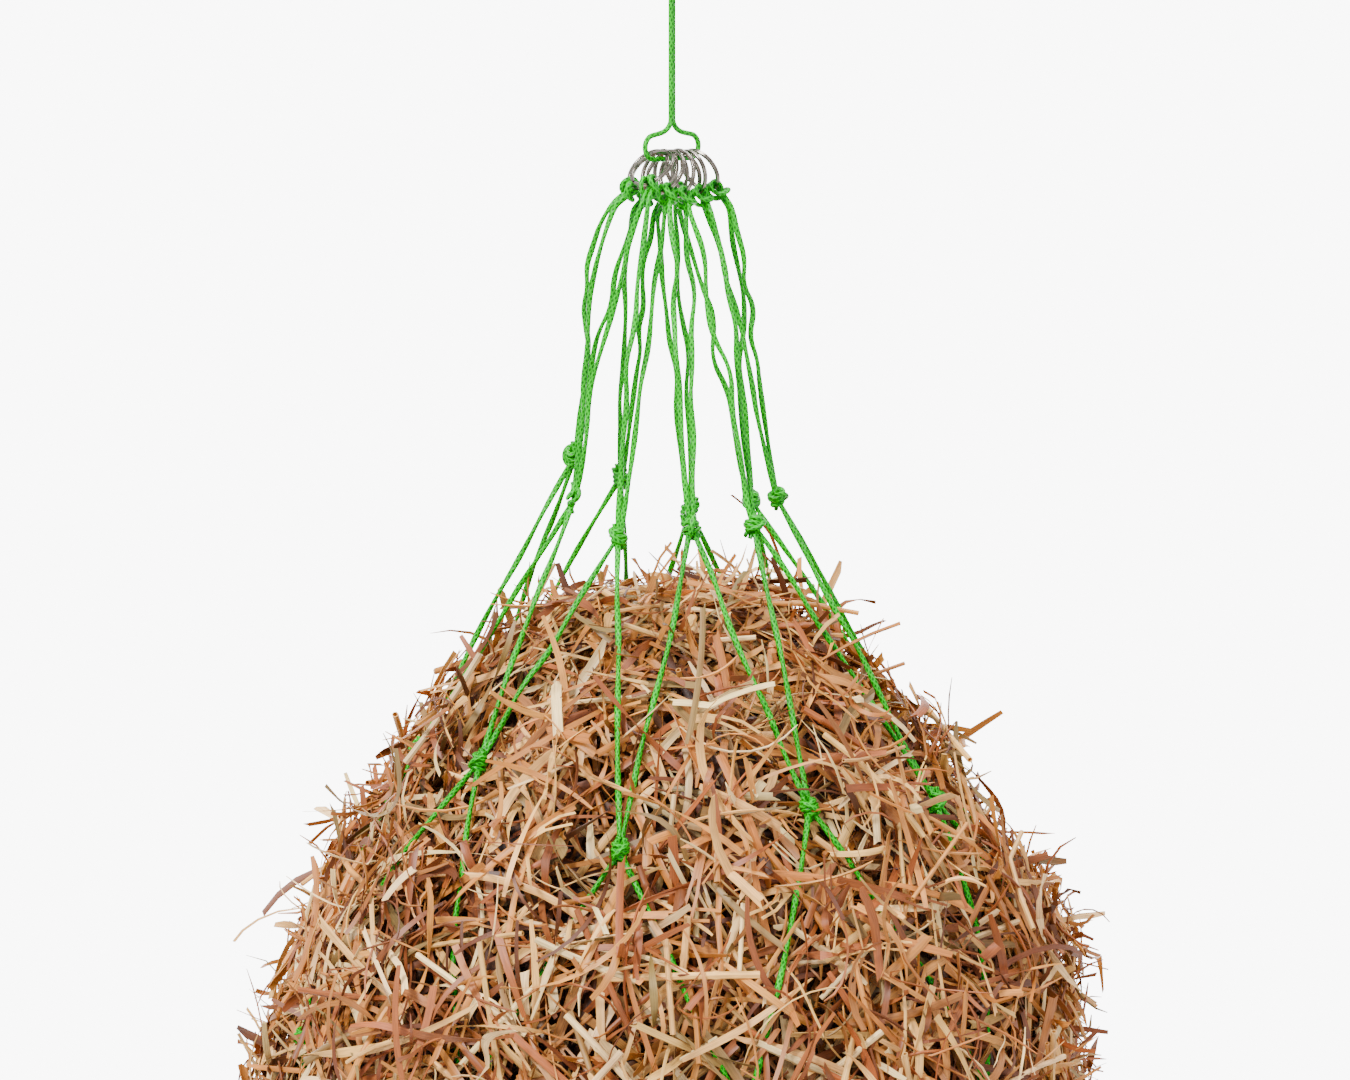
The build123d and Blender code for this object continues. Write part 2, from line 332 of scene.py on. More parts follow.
def start_material(name: str) -> tuple[bpy.types.Material, bpy.types.Node]:
    """Makes a material.

    Args:
        name: Its name.

    Returns:
        The material and its Principled shader.
    """
    material = bpy.data.materials.new(name)
    material.use_nodes = True
    return material, material.node_tree.nodes["Principled BSDF"]


@dataclass(frozen=True)
class BraidedNylon:
    """Braided nylon twine: shiny plaits of bright green filament, with painted shade in the grooves and a painted
    highlight on the crowns.
    """

    name: str = "braided_nylon"
    body: str = "008800"
    # The groove tone is painted shade in the grooves, and the crown tone a painted highlight on the plaits' tops.
    groove_shade: str = "005800"
    crown: str = "00B400"
    plaits_round: int = 4
    plait_mm: float = 3.6  # one plait's length along the twine
    relief_mm: float = 0.16
    filament_per_m: float = 420.0  # filament grain: its coarsest streaks are 2.4 mm long and its finest 0.3 mm
    fade_per_m: float = 38.0  # faded and fresh stretches of about 26 mm

    def make(self) -> bpy.types.Material:
        """Builds the material: two crossing sets of plaits in UV, over a filament grain; their height gives painted
        shade and highlight.
        """
        material, shader = start_material(self.name)
        uv = add_node(material, "UVMap", {"uv_map": "UVMap"})
        split = add_node(material, "SeparateXYZ", links={0: uv})
        waves = []
        for lean in (1, -1):
            around = add_node(material, "Math", {"operation": "MULTIPLY", 1: lean * self.plaits_round}, {0: split})
            along = add_node(material, "Math", {"operation": "MULTIPLY_ADD", 1: 1 / self.plait_mm},
                             {0: split.outputs[1], 2: around})
            turn = add_node(material, "Math", {"operation": "MULTIPLY", 1: 2 * math.pi}, {0: along})
            waves.append(add_node(material, "Math", {"operation": "SINE"}, {0: turn}))
        over = add_node(material, "Math", {"operation": "MAXIMUM"}, {0: waves[0], 1: waves[1]})
        plait = add_node(material, "MapRange", {"From Min": -0.6, "From Max": 1.0}, {0: over})
        place = add_node(material, "TexCoord")
        grain = add_node(material, "TexNoise", {"Scale": self.filament_per_m, "Detail": 3.0}, {0: place.outputs["Object"]})
        drift = add_node(material, "TexNoise", {"Scale": self.fade_per_m, "Detail": 2.0}, {0: place.outputs["Object"]})
        height = add_node(material, "Math", {"operation": "MULTIPLY_ADD", 1: 0.35}, {0: grain, 2: plait})
        # The plaits' height picks the colour: painted shade in the grooves, the plain body, a painted highlight on the
        # crowns.
        painted_light_ramp = add_node(material, "ValToRGB", links={0: height})
        for stop, position, tone_hex in zip(painted_light_ramp.color_ramp.elements, (0.2, 1.1), (self.groove_shade, self.crown)):
            stop.position, stop.color = position, linear(tone_hex)
        middle = painted_light_ramp.color_ramp.elements.new(0.62)
        middle.color = linear(self.body)
        fade = add_node(material, "MapRange", {"From Min": 0.3, "From Max": 0.7, "To Min": 0.78, "To Max": 1.2},
                        {0: drift})
        tint = add_node(material, "Attribute", {"attribute_name": "tint"})
        toned = add_node(material, "Mix", {"data_type": "RGBA", "blend_type": "MULTIPLY", 0: 1.0}, {6: painted_light_ramp, 7: tint})
        colour = add_node(material, "VectorMath", {"operation": "SCALE"}, {0: toned.outputs[2], 3: fade})
        bump = add_node(material, "Bump", {"Strength": 1.0, "Distance": self.relief_mm * MM}, {"Height": height})
        set_up(material, shader, {"Roughness": 0.34, "IOR": 1.53, "Specular IOR Level": 0.22},
               {"Base Color": colour, "Normal": bump})
        return material


@dataclass(frozen=True)
class NickelPlate:
    """Bright nickel plate on spring steel: a warm white mirror with fine handling scratches."""

    name: str = "nickel_plate"
    plate: str = "A8A096"
    dull: str = "7E766C"
    scratch_mm: float = 0.35
    wear_per_m: float = 160.0  # dull and bright patches of about 6 mm

    def make(self) -> bpy.types.Material:
        """Builds the material: scratches in the roughness and a little in the height."""
        material, shader = start_material(self.name)
        place = add_node(material, "TexCoord")
        stretch = add_node(material, "Mapping", {"Scale": (1.0, 1.0, 6.0)}, {0: place.outputs["Object"]})
        scratch = add_node(material, "TexNoise", {"Scale": 1 / (self.scratch_mm * MM) / 4, "Detail": 5.0},
                           {0: stretch})
        wear = add_node(material, "TexNoise", {"Scale": self.wear_per_m, "Detail": 3.0}, {0: place.outputs["Object"]})
        tone = add_node(material, "ValToRGB", links={0: wear})
        for stop, position, tone_hex in zip(tone.color_ramp.elements, (0.42, 0.58), (self.dull, self.plate)):
            stop.position, stop.color = position, linear(tone_hex)
        rough = add_node(material, "MapRange", {"To Min": 0.1, "To Max": 0.22}, {0: scratch})
        bump = add_node(material, "Bump", {"Strength": 0.35, "Distance": 0.02 * MM}, {"Height": scratch})
        set_up(material, shader, {"Metallic": 1.0}, {"Base Color": tone, "Roughness": rough, "Normal": bump})
        return material


@dataclass(frozen=True)
class DryStraw:
    """Dry cereal straw: silky along the grain, each piece with its own tone between cream and orange brown."""

    name: str = "dry_straw"
    stain: str = "7E451A"
    streak_mm: float = 0.55  # width of one grain streak
    streak_long_mm: float = 14.0
    stain_per_m: float = 55.0  # stained patches of about 18 mm

    def make(self) -> bpy.types.Material:
        """Builds the material: each piece's tint, streaked along its grain and stained in patches."""
        material, shader = start_material(self.name)
        tint = add_node(material, "Attribute", {"attribute_name": "tint"})
        uv = add_node(material, "UVMap", {"uv_map": "UVMap"})
        fine = add_node(material, "Mapping", {"Scale": (1 / self.streak_long_mm, 1 / self.streak_mm, 1.0)}, {0: uv})
        grain = add_node(material, "TexNoise", {"Scale": 1.0, "Detail": 3.0, "Roughness": 0.6}, {0: fine})
        light = add_node(material, "MapRange", {"From Min": 0.3, "From Max": 0.7, "To Min": 0.62, "To Max": 1.25},
                         {0: grain})
        place = add_node(material, "TexCoord")
        patch = add_node(material, "TexNoise", {"Scale": self.stain_per_m, "Detail": 2.0}, {0: place.outputs["Object"]})
        stained = add_node(material, "MapRange", {"From Min": 0.52, "From Max": 0.75, "To Max": 0.5}, {0: patch})
        mixed = add_node(material, "Mix", {"data_type": "RGBA", 7: linear(self.stain)}, {0: stained, 6: tint})
        colour = add_node(material, "VectorMath", {"operation": "SCALE"}, {0: mixed.outputs[2], 3: light})
        bump = add_node(material, "Bump", {"Strength": 0.6, "Distance": 0.15 * MM}, {"Height": grain})
        set_up(material, shader, {"Roughness": 0.48, "IOR": 1.45}, {"Base Color": colour, "Normal": bump})
        return material


@dataclass(frozen=True)
class PaintedShadeStraw:
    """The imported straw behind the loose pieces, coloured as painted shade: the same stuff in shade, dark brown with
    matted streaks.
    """

    name: str = "painted_shade_straw"
    # Both tones are painted shade: the darker for the deepest straw, the lighter for its less shaded streaks.
    shade: str = "240D04"
    lit: str = "5E3517"
    mat_mm: float = 3.0

    def make(self) -> bpy.types.Material:
        """Builds the material: crossing streaks of painted shade."""
        material, shader = start_material(self.name)
        place = add_node(material, "TexCoord")
        mats = add_node(material, "TexNoise",
                        {"Scale": 1 / (self.mat_mm * MM) / 3, "Detail": 4.0, "Distortion": 1.5},
                        {0: place.outputs["Object"]})
        tone = add_node(material, "ValToRGB", links={0: mats})
        for stop, position, tone_hex in zip(tone.color_ramp.elements, (0.4, 0.75), (self.shade, self.lit)):
            stop.position, stop.color = position, linear(tone_hex)
        bump = add_node(material, "Bump", {"Strength": 1.0, "Distance": 2.5 * MM}, {"Height": mats})
        set_up(material, shader, {"Roughness": 0.8}, {"Base Color": tone, "Normal": bump})
        return material


@dataclass(frozen=True)
class StudioPaper:
    """Matt white studio paper."""

    name: str = "studio_paper"
    paper: str = "F4F4F2"

    def make(self) -> bpy.types.Material:
        """Builds the material: plain, and fully matt."""
        material, shader = start_material(self.name)
        set_up(material, shader, {"Base Color": linear(self.paper), "Roughness": 0.9})
        return material


@dataclass
class Finishes:
    """One of each material, shared by all the pieces."""

    twine: bpy.types.Material = field(default_factory=lambda: BraidedNylon().make())
    nickel: bpy.types.Material = field(default_factory=lambda: NickelPlate().make())
    straw: bpy.types.Material = field(default_factory=lambda: DryStraw().make())
    painted_shade_straw: bpy.types.Material = field(default_factory=lambda: PaintedShadeStraw().make())
    paper: bpy.types.Material = field(default_factory=lambda: StudioPaper().make())


def dress(piece: bpy.types.Object, material: bpy.types.Material, body: str, slot: str, *nodes: str) -> None:
    """Gives a piece its material and its body, and hides the CAD nodes that it stands for.

    Args:
        piece: The piece.
        material: Its finish.
        body: The CAD body that it moves with.
        slot: Not used.
        *nodes: CAD nodes that it replaces.
    """
    piece.data.materials.clear()
    piece.data.materials.append(material)
    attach(piece, body)
    if nodes:
        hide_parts(*nodes)
    piece.data.calc_loop_triangles()
    log.info("%s: %d triangles on %s", piece.name, len(piece.data.loop_triangles), body)


# --- Where things are ---------------------------------------------------------------------------------------------


def middle_of(node: str) -> Vector:
    """The middle of a CAD node's box."""
    low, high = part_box(node)
    return (low + high) / 2


def node_points(node: str) -> Array:
    """A CAD node's vertices, in metres."""
    mesh = frame["nodes"][node].data
    points = np.empty(len(mesh.vertices) * 3)
    mesh.vertices.foreach_get("co", points)
    return points.reshape(-1, 3)


@dataclass
class RingSeat:
    """Where one split ring hangs: its centre, its axis, the way to its hitch, and the way along its wire there."""

    number: int
    centre: Vector
    axis: Vector
    hang: Vector

    @property
    def along(self) -> Vector:
        """Direction along the ring's wire at its hitch."""
        return self.axis.cross(self.hang)

    @classmethod
    def read(cls, number: int) -> "RingSeat":
        """Reads a seat from the ring's joint and its hitch's place."""
        joint = next(j for j in frame["joints"] if j["name"] == f"ring_{number}_spin")
        centre, axis = Vector(joint["pos_m"]), Vector(joint["axis"]).normalized()
        hang = middle_of(f"cow_hitch_{number}") - centre
        hang -= axis * hang.dot(axis)
        return cls(number, centre, axis, hang.normalized())


def knot_row(number: int) -> list[Vector]:
    """Middles of the nine knots in a row, in order of azimuth from the first."""
    points = node_points(f"row_{number}_knots")
    first = MESH_STEP / 2 if number % 2 == 0 else 0
    azimuth = (np.degrees(np.arctan2(points[:, 1], points[:, 0])) - first) % 360
    nearest = np.round(azimuth / MESH_STEP).astype(int) % MESHES
    return [Vector((points[nearest == i].min(0) + points[nearest == i].max(0)) / 2) for i in range(MESHES)]


def outward_of(point: Vector) -> Vector:
    """Level direction from the bag's axis to a point."""
    return Vector((point.x, point.y, 0)).normalized()


# --- Split rings --------------------------------------------------------------------------------------------------


@dataclass
class SplitRings:
    """Nine spring-steel rings, each a flat wire wound twice round with a jog between its coils."""

    finishes: Finishes
    seats: list[RingSeat]
    outer_r: float = 12.0 * MM
    radial: float = 1.4 * MM
    coil: float = 0.94 * MM
    pitch: float = 1.02 * MM
    edge: float = 0.24 * MM
    steps: int = 128
    wound_deg: float = 719.0  # the wire's ends all but meet after two turns
    jog_turns: float = 0.09
    smooth_deg: float = 35.0
    first_turn_deg: float = 97.0  # the jog's place round the first ring, and how much further it is round each next
    next_turn_deg: float = 53.0

    def wind(self) -> Shape:
        """Models one ring flat at the origin: a bevelled flat wire screwed twice round, then pressed flat.

        Returns:
            The ring, its axis along Z.
        """
        bpy.ops.object.select_all(action="DESELECT")
        bpy.ops.mesh.primitive_plane_add(size=1)
        ring = bpy.context.object
        bpy.ops.object.mode_set(mode="EDIT")
        bpy.ops.mesh.select_all(action="SELECT")
        bpy.ops.transform.resize(value=(self.radial, self.coil, 1), center_override=(0, 0, 0))
        bpy.ops.mesh.bevel(offset=self.edge, segments=3, affect="VERTICES")
        bpy.ops.mesh.delete(type="ONLY_FACE")
        bpy.ops.object.mode_set(mode="OBJECT")
        for vertex in ring.data.vertices:
            vertex.co = (self.outer_r - self.radial / 2 + vertex.co.x, 0, vertex.co.y)
        section = len(ring.data.vertices)
        screw = ring.modifiers.new("wind", "SCREW")
        screw.angle = math.radians(self.wound_deg)
        screw.steps = screw.render_steps = self.steps
        bpy.ops.object.modifier_apply(modifier=screw.name)
        for index, vertex in enumerate(ring.data.vertices):
            turns = index // section / self.steps * self.wound_deg / 360
            jog = min(max((turns - 1) / self.jog_turns + 0.5, 0), 1)
            vertex.co.z += (jog - 0.5) * self.pitch
        bpy.ops.object.mode_set(mode="EDIT")
        bpy.ops.mesh.select_all(action="SELECT")
        bpy.ops.mesh.fill_holes(sides=section)
        bpy.ops.mesh.select_all(action="SELECT")
        bpy.ops.mesh.normals_make_consistent(inside=False)
        bpy.ops.object.mode_set(mode="OBJECT")
        return take_shape(ring)

    def build(self) -> None:
        """Places a copy of the ring at every seat, each turned so that its jog is elsewhere."""
        pattern = self.wind()
        for seat in self.seats:
            turn = Matrix.Rotation(math.radians(self.first_turn_deg + seat.number * self.next_turn_deg), 3, "Z")
            axes = Matrix((seat.hang, seat.along, seat.axis)).transposed() @ turn
            verts = pattern.verts @ np.array(axes).T + np.array(seat.centre)
            batch = Batch()
            batch.add(Shape(verts, pattern.corners, pattern.totals, pattern.uv))
            piece = batch.build(f"wound_ring_{seat.number}", self.smooth_deg)
            dress(piece, self.finishes.nickel, f"ring_{seat.number}", "split_ring_steel", f"split_ring_{seat.number}")


# --- Net ----------------------------------------------------------------------------------------------------------

# A cow hitch on a ring's wire, in millimetres: outwards from the wire, along it, and along the ring's axis.
# It is the half from a leg up over the wire to the middle of the bight; the other half mirrors it.
HITCH_HALF = (
    (13.0, 1.5, 0.4), (8.0, 1.5, 0.9), (4.4, 1.6, 1.5), (1.2, 1.7, 3.1), (-2.4, 1.8, 2.9), (-3.2, 1.8, -0.6),
    (-0.6, 1.9, -3.4), (3.2, 2.6, -2.6), (5.2, 3.6, 0.6), (4.9, 3.1, 4.2), (4.2, 1.2, 5.0),
)

# A netting knot pulled tight, in millimetres: outwards from the bag, sideways and up. The twine comes in at the
# top, wraps slantwise round the two legs below it three times, and leaves at the bottom.
KNOT_WRAPS = (
    (-1.4, -1.4, 6.6), (-1.6, -1.9, 3.4), (1.0, -3.6, 2.6), (3.5, -0.8, 3.4), (2.2, 3.4, 3.0), (-2.4, 3.2, 1.8),
    (-3.6, -0.4, 0.6), (-1.2, -4.0, -0.4), (3.0, -2.6, 0.2), (4.0, 1.4, 0.9), (0.2, 4.2, 0.4),
    (-3.6, 1.4, -0.8), (-3.0, -2.8, -2.0), (1.6, -3.8, -2.8), (3.9, 0.0, -2.0), (1.8, 3.6, -2.2),
    (-2.4, 2.4, -3.4), (-1.2, -0.6, -4.8), (-0.4, -1.6, -7.0),
)
KNOT_HEART = (
    (0.2, 1.5, 7.0), (0.6, 1.4, 3.0), (-0.6, -0.6, 0.4), (0.8, 0.6, -2.0), (0.4, 1.4, -4.6), (0.0, 1.7, -7.0),
)
# The turn that crosses the wraps in front and jams them.
KNOT_CROSS = (
    (-1.0, 2.6, 4.2), (2.6, 2.8, 4.4), (4.9, 0.8, 2.2), (5.2, -1.0, -0.6), (3.4, -2.6, -3.6),
    (-0.6, -2.4, -4.6),
)
# A knot that never drew up: an open loop standing out from the crossing.
KNOT_SLACK = (
    (0.0, 1.5, -6.0), (1.8, 0.6, -1.8), (2.6, -3.2, 0.4), (1.4, -8.6, 1.6), (0.2, -11.0, 4.6),
    (-0.8, -8.0, 7.0), (-1.2, -2.6, 6.2), (0.4, 1.8, 4.4), (2.6, 1.6, 1.6), (2.4, -1.8, 3.4), (-0.4, -1.8, 6.6),
    (-0.4, 0.4, 10.0),
)


@dataclass
class Waver:
    """Gives twine the small bends of a used net."""

    seed: int

    def __post_init__(self) -> None:
        """Starts this piece's own random numbers."""
        self.random = np.random.default_rng(self.seed)

    def between(self, start: Vector, end: Vector, bow: Vector, sway: float, count: int) -> list[Vector]:
        """Control points of a bowed, slightly wavy twine, without its ends.

        Args:
            start: Where the twine starts.
            end: Where it ends.
            bow: How far its middle stands off the straight line.
            sway: Size of its small bends.
            count: How many points to give.

        Returns:
            The inner control points.
        """
        run = (end - start).normalized()
        points = []
        for i in range(1, count + 1):
            t = i / (count + 1)
            jitter = Vector(self.random.normal(0, 1, 3))
            jitter -= run * jitter.dot(run)
            points.append(start.lerp(end, t) + bow * (4 * t * (1 - t)) + jitter * sway * min(1, 4 * t, 4 * (1 - t)))
        return points

    def tint(self) -> tuple[float, float, float]:
        """A tone for one strand, a little lighter, darker, bluer or yellower than the next."""
        tone = self.random.uniform(0.86, 1.1)
        return (tone, tone, tone * self.random.uniform(0.8, 1.5))


@dataclass
class MouthGather:
    """The net's mouth: on each ring a cow hitch, whose two legs run down to neighbouring knots."""

    finishes: Finishes
    seats: list[RingSeat]
    knots: list[Vector]
    leg_bow: tuple[float, ...] = (1.5, 3.0, 2.0, 4.0, 6.0, 4.5, 2.5, 2.0, 3.0)
    sway: float = 1.5 * MM
    leg_points: int = 6
    meets: tuple[float, ...] = (18.0, 42.0, 26.0, 56.0)  # the two legs of a knot run together for this last stretch
    beside: float = 1.35 * MM  # and lie this far from its middle line
    knot_half: float = 5 * MM
    wire_r: float = 11.3 * MM  # the middle of the ring's wire

    def build(self) -> None:
        """Makes one piece per ring: leg, hitch and leg as a single twine."""
        for seat in self.seats:
            waver = Waver(100 + seat.number)
            k = seat.number - 1
            ends = [self.knots[k], self.knots[(k + 1) % MESHES]]
            wire = seat.centre + seat.hang * self.wire_r
            along = seat.along
            if along.dot(ends[1] - ends[0]) < 0:
                along = -along
            axes = (seat.hang, along, seat.axis)
            towards = placed([(a, b, c) for a, b, c in HITCH_HALF], wire, axes)
            away = placed([(a, -b, c) for a, b, c in HITCH_HALF], wire, axes)
            route = []
            for half, knot in ((towards, ends[1]), (away, ends[0])):
                out = outward_of((half[0] + knot) / 2)
                bow = out * (self.leg_bow[k] * MM)
                side = 1 if half is towards else -1
                foot = knot + UP.cross(outward_of(knot)) * (-side * self.beside)
                rise = (half[0] - knot).normalized()
                together = self.meets[(k + side) % len(self.meets)] * MM
                meet = [foot + rise * self.knot_half, foot + rise * together]
                leg = waver.between(half[0], meet[1], bow, self.sway, self.leg_points)
                route.append([knot - UP * MM, *meet, *reversed(leg), *half])
            line = spline_line([*route[0], *reversed(route[1])], per_span=7)
            batch = Batch()
            batch.add(sweep(line), waver.tint())
            piece = batch.build(f"hitched_twine_{seat.number}")
            dress(piece, self.finishes.twine, "net_bag", "net_twine", f"cow_hitch_{seat.number}",
                  f"mouth_twines_{seat.number}")


@dataclass
class NetBody:
    """The knotted rows below the mouth: a sheet-bend knot at each crossing and the bars between rows."""

    finishes: Finishes
    rows: list[list[Vector]]
    standoff: float = 5.0 * MM
    bar_sway: float = 0.9 * MM
    bar_points: int = 5
    knot_scale: float = 0.98
    knot_range: tuple[float, float] = (0.93, 1.1)  # from the tightest knot to the loosest
    knot_roll: float = 0.3
    slack_knot: int = 5  # the knot of the first row that never drew up
    lines: list[Array] = field(default_factory=list)

    def build_knots(self) -> None:
        """Makes one piece per row of knots, each knot turned and pulled a little differently."""
        for number, row in enumerate(self.rows, start=1):
            waver = Waver(200 + number)
            batch = Batch()
            for knot in row:
                out = outward_of(knot)
                roll = Matrix.Rotation(waver.random.normal(0, self.knot_roll), 3, out)
                flip = waver.random.choice((-1, 1))
                side = roll @ UP.cross(out) * flip
                scale = self.knot_scale * waver.random.uniform(*self.knot_range)
                axes = (out * scale, side * scale, roll @ UP * scale)
                tint = waver.tint()
                slack = number == 1 and knot is row[self.slack_knot]
                parts = (KNOT_SLACK,) if slack else (KNOT_WRAPS, KNOT_HEART, KNOT_CROSS)
                for part in parts:
                    batch.add(sweep(spline_line(placed(part, knot, axes), per_span=6)), tint)
            piece = batch.build(f"tied_knots_{number}")
            dress(piece, self.finishes.twine, "net_bag", "net_twine", f"row_{number}_knots")

    def build_bars(self, load: "StrawLoad") -> None:
        """Makes one piece per row of bars, each bar bowed out over the straw."""
        for number in range(1, len(self.rows)):
            waver = Waver(300 + number)
            batch = Batch()
            for i, upper in enumerate(self.rows[number - 1]):
                first = i if number % 2 == 0 else i - 1
                for j in (first, first + 1):
                    lower = self.rows[number][j % MESHES]
                    middle = (upper + lower) / 2
                    out = math.hypot(middle.x, middle.y)
                    radius = max(load.radius_at(middle.z) + self.standoff, out + MM)
                    bow = outward_of(middle) * (radius - out)
                    inner = waver.between(upper, lower, bow, self.bar_sway, self.bar_points)
                    line = spline_line([upper, *inner, lower], per_span=7)
                    self.lines.append(line)
                    batch.add(sweep(line), waver.tint())
            piece = batch.build(f"net_bars_{number}")
            dress(piece, self.finishes.twine, "net_bag", "net_twine", f"row_{number}_bars")


@dataclass
class BottomGather:
    """The welded ring under the bag, the hitches on it and the twines that draw the last row of knots in to it."""

    finishes: Finishes
    knots: list[Vector]
    centre: Vector
    ring_r: float = 24.0 * MM
    wire_r: float = 2.0 * MM
    weld_half: float = 2.2 * MM
    weld_swell: float = 1.22
    groove_half: float = 0.4 * MM
    groove_pinch: float = 0.86
    hitch_scale: tuple[float, float] = (1.35, 1.3)  # out and through: this ring's wire is thicker than a split ring's
    bow: float = 14.0 * MM
    leg_points: int = 4
    lines: list[Array] = field(default_factory=list)

    def build_ring(self) -> None:
        """Makes the welded ring: round wire with the swelling and groove of a butt weld at the back."""
        bpy.ops.object.select_all(action="DESELECT")
        bpy.ops.mesh.primitive_torus_add(location=self.centre, major_radius=self.ring_r, minor_radius=self.wire_r,
                                         major_segments=96, minor_segments=16)
        ring = bpy.context.object
        bpy.ops.object.transform_apply(location=True, rotation=True, scale=True)
        weld = self.centre + Vector((0, self.ring_r, 0))
        bpy.ops.object.mode_set(mode="EDIT")
        for half, size in ((self.weld_half, self.weld_swell), (self.groove_half, self.groove_pinch)):
            pick(ring, lambda co, half=half: abs(co.x) < half and co.y > 0)
            bpy.ops.transform.resize(value=(1, size, size), center_override=weld)
        bpy.ops.object.mode_set(mode="OBJECT")
        bpy.ops.object.shade_smooth()
        ring.name = "welded_ring"
        dress(ring, self.finishes.nickel, "net_bag", "welded_ring_steel", "bottom_ring")

    def build_twines(self) -> None:
        """Makes the gathering twines, each pair hitched to the ring and run up to two knots."""
        batch = Batch()
        waver = Waver(400)
        for i in range(MESHES):
            ends = (self.knots[i], self.knots[(i + 1) % MESHES])
            out = outward_of((ends[0] + ends[1]) / 2)
            axes = (out, UP.cross(out), -UP)
            wire = self.centre + out * self.ring_r
            route = []
            for side, knot in ((1, ends[1]), (-1, ends[0])):
                sized = [(a * self.hitch_scale[0], side * b, c * self.hitch_scale[1]) for a, b, c in HITCH_HALF]
                half = placed(sized, wire, axes)
                leg = waver.between(half[0], knot, (out - UP) * self.bow, MM, self.leg_points)
                route.append([knot, *reversed(leg), *half])
                self.lines.append(spline_line([knot, *reversed(leg), half[0]]))
            batch.add(sweep(spline_line([*route[0], *reversed(route[1])], per_span=7)), waver.tint())
        piece = batch.build("gathering_twines")
        dress(piece, self.finishes.twine, "net_bag", "net_twine", "bottom_twines", "bottom_hitches")


# --- Drawcord -----------------------------------------------------------------------------------------------------


@dataclass
class Drawcord:
    """The cord that the bag hangs from: two strands down through the rings, and the knotted loop above them.

    Its sizes are in millimetres and degrees.
    """

    finishes: Finishes
    strand_out: float = 1.375  # the strands lie side by side, this far from the middle
    top_z: float = -58.7  # where they leave the knot
    straight_z: tuple[float, ...] = (-117.2, -128.1, -133.2)  # points that keep them straight down to the eye
    strand_azimuth: float = 70.0
    eye_azimuth: float = 45.0
    # Half of the eye, from the neck down: along the rings, and height.
    eye_side: tuple[tuple[float, float], ...] = (
        (4.7, -137.1), (11.3, -138.3), (15.8, -139.1), (18.6, -142.7), (18.2, -147.3), (14.8, -150.3), (10.2, -150.3))
    # Half of the hanging loop, from its knot up to the crown: sideways, and height.
    loop_side: tuple[tuple[float, float], ...] = ((1.375, -46), (10.5, -10), (5.2, 1.3))
    # The knot's three turns, by lean and height.
    knot_turns: tuple[tuple[float, float], ...] = ((0.35, 2.6), (-0.3, 0.2), (0.2, -2.4))
    knot_turn_r: float = 4.4
    knot_turn_points: int = 10

    def route(self) -> list[Vector]:
        """The cord's own route: down one strand, through the rings and up the other."""
        turns = [math.radians(azimuth) for azimuth in (self.strand_azimuth, self.eye_azimuth)]
        strand, eye = [Vector((math.cos(turn), math.sin(turn), 0)) for turn in turns]
        half = [strand * -self.strand_out + UP * z for z in (self.top_z, *self.straight_z)]
        half += [eye * -out + UP * z for out, z in self.eye_side]
        other = [Vector((-p.x, -p.y, p.z)) for p in reversed(half)]
        return [p * MM for p in half + other]

    def build_cord(self) -> None:
        """Makes the two strands as one cord."""
        route = self.route()
        line = spline_line(route, per_span=16)
        batch = Batch()
        batch.add(sweep(line, sides=CORD_SIDES, oval=ROUND), CORD_TINT)
        piece = batch.build("braided_drawcord")
        dress(piece, self.finishes.twine, "drawcord", "drawcord_twine", "drawcord")

    def build_loop(self) -> None:
        """Makes the hanging loop and the overhand knot that closes it."""
        points = [Vector((side * out, 0, z)) * MM for side, half in ((-1, self.loop_side), (1, self.loop_side[::-1]))
                  for out, z in half]
        batch = Batch()
        batch.add(sweep(spline_line(points, per_span=16), sides=CORD_SIDES, oval=ROUND), CORD_TINT)
        piece = batch.build("braided_loop")
        dress(piece, self.finishes.twine, "loop", "drawcord_twine", "hanging_loop")
        batch = Batch()
        middle = middle_of("loop_knot")
        for lean, rise in self.knot_turns:
            ring = []
            for step in range(self.knot_turn_points):
                angle = math.radians(360 // self.knot_turn_points * step)
                across, along = self.knot_turn_r * math.cos(angle), self.knot_turn_r * math.sin(angle)
                ring.append((across, along, rise + 2.4 * lean * math.sin(angle)))
            batch.add(sweep(spline_line(placed(ring, middle, MODEL_AXES), closed=True), closed=True))
        for side in (-1, 1):
            strand = [(side * 1.4, 0, 8.5), (side * 2.2, 1.5, 4), (side * -1.5, -1.5, 0), (side * 2.0, 1.0, -4),
                      (side * 1.3, side * 0.4, -7.5)]
            batch.add(sweep(spline_line(placed(strand, middle, MODEL_AXES))))
        piece = batch.build("overhand_knot")
        dress(piece, self.finishes.twine, "loop", "drawcord_twine", "loop_knot")


# --- Straw --------------------------------------------------------------------------------------------------------


class StrawForm(Enum):
    """The forms that chopped straw comes in."""

    SPLIT_STEM = "split_stem"
    WHOLE_STEM = "whole_stem"
    LEAF = "leaf"
    FORKED = "forked"
    FIBRE = "fibre"


@dataclass(frozen=True)
class StrawSort:
    """How many pieces of one form there are, and how they vary."""

    name: str
    form: StrawForm
    count: int
    length_mm: tuple[float, float]
    width: tuple[float, float]
    depth_mm: tuple[float, float]
    tilt_deg: float
    curl: float  # turn of the piece along its length, in radians
    twist: float
    kinked: float  # share of the pieces that are folded over once
    droop: float  # mean turn of the ends in towards the bag, in radians
    tones: tuple[float, ...]


# Tones run from cream to shadow brown; the darkest are painted shade. A sort's tones are its shares of each.
STRAW_TONES = ("FAD493", "EBB366", "D68F42", "C27830", "A6642C", "A25624", "85451C", "623215", "8A6C3A")

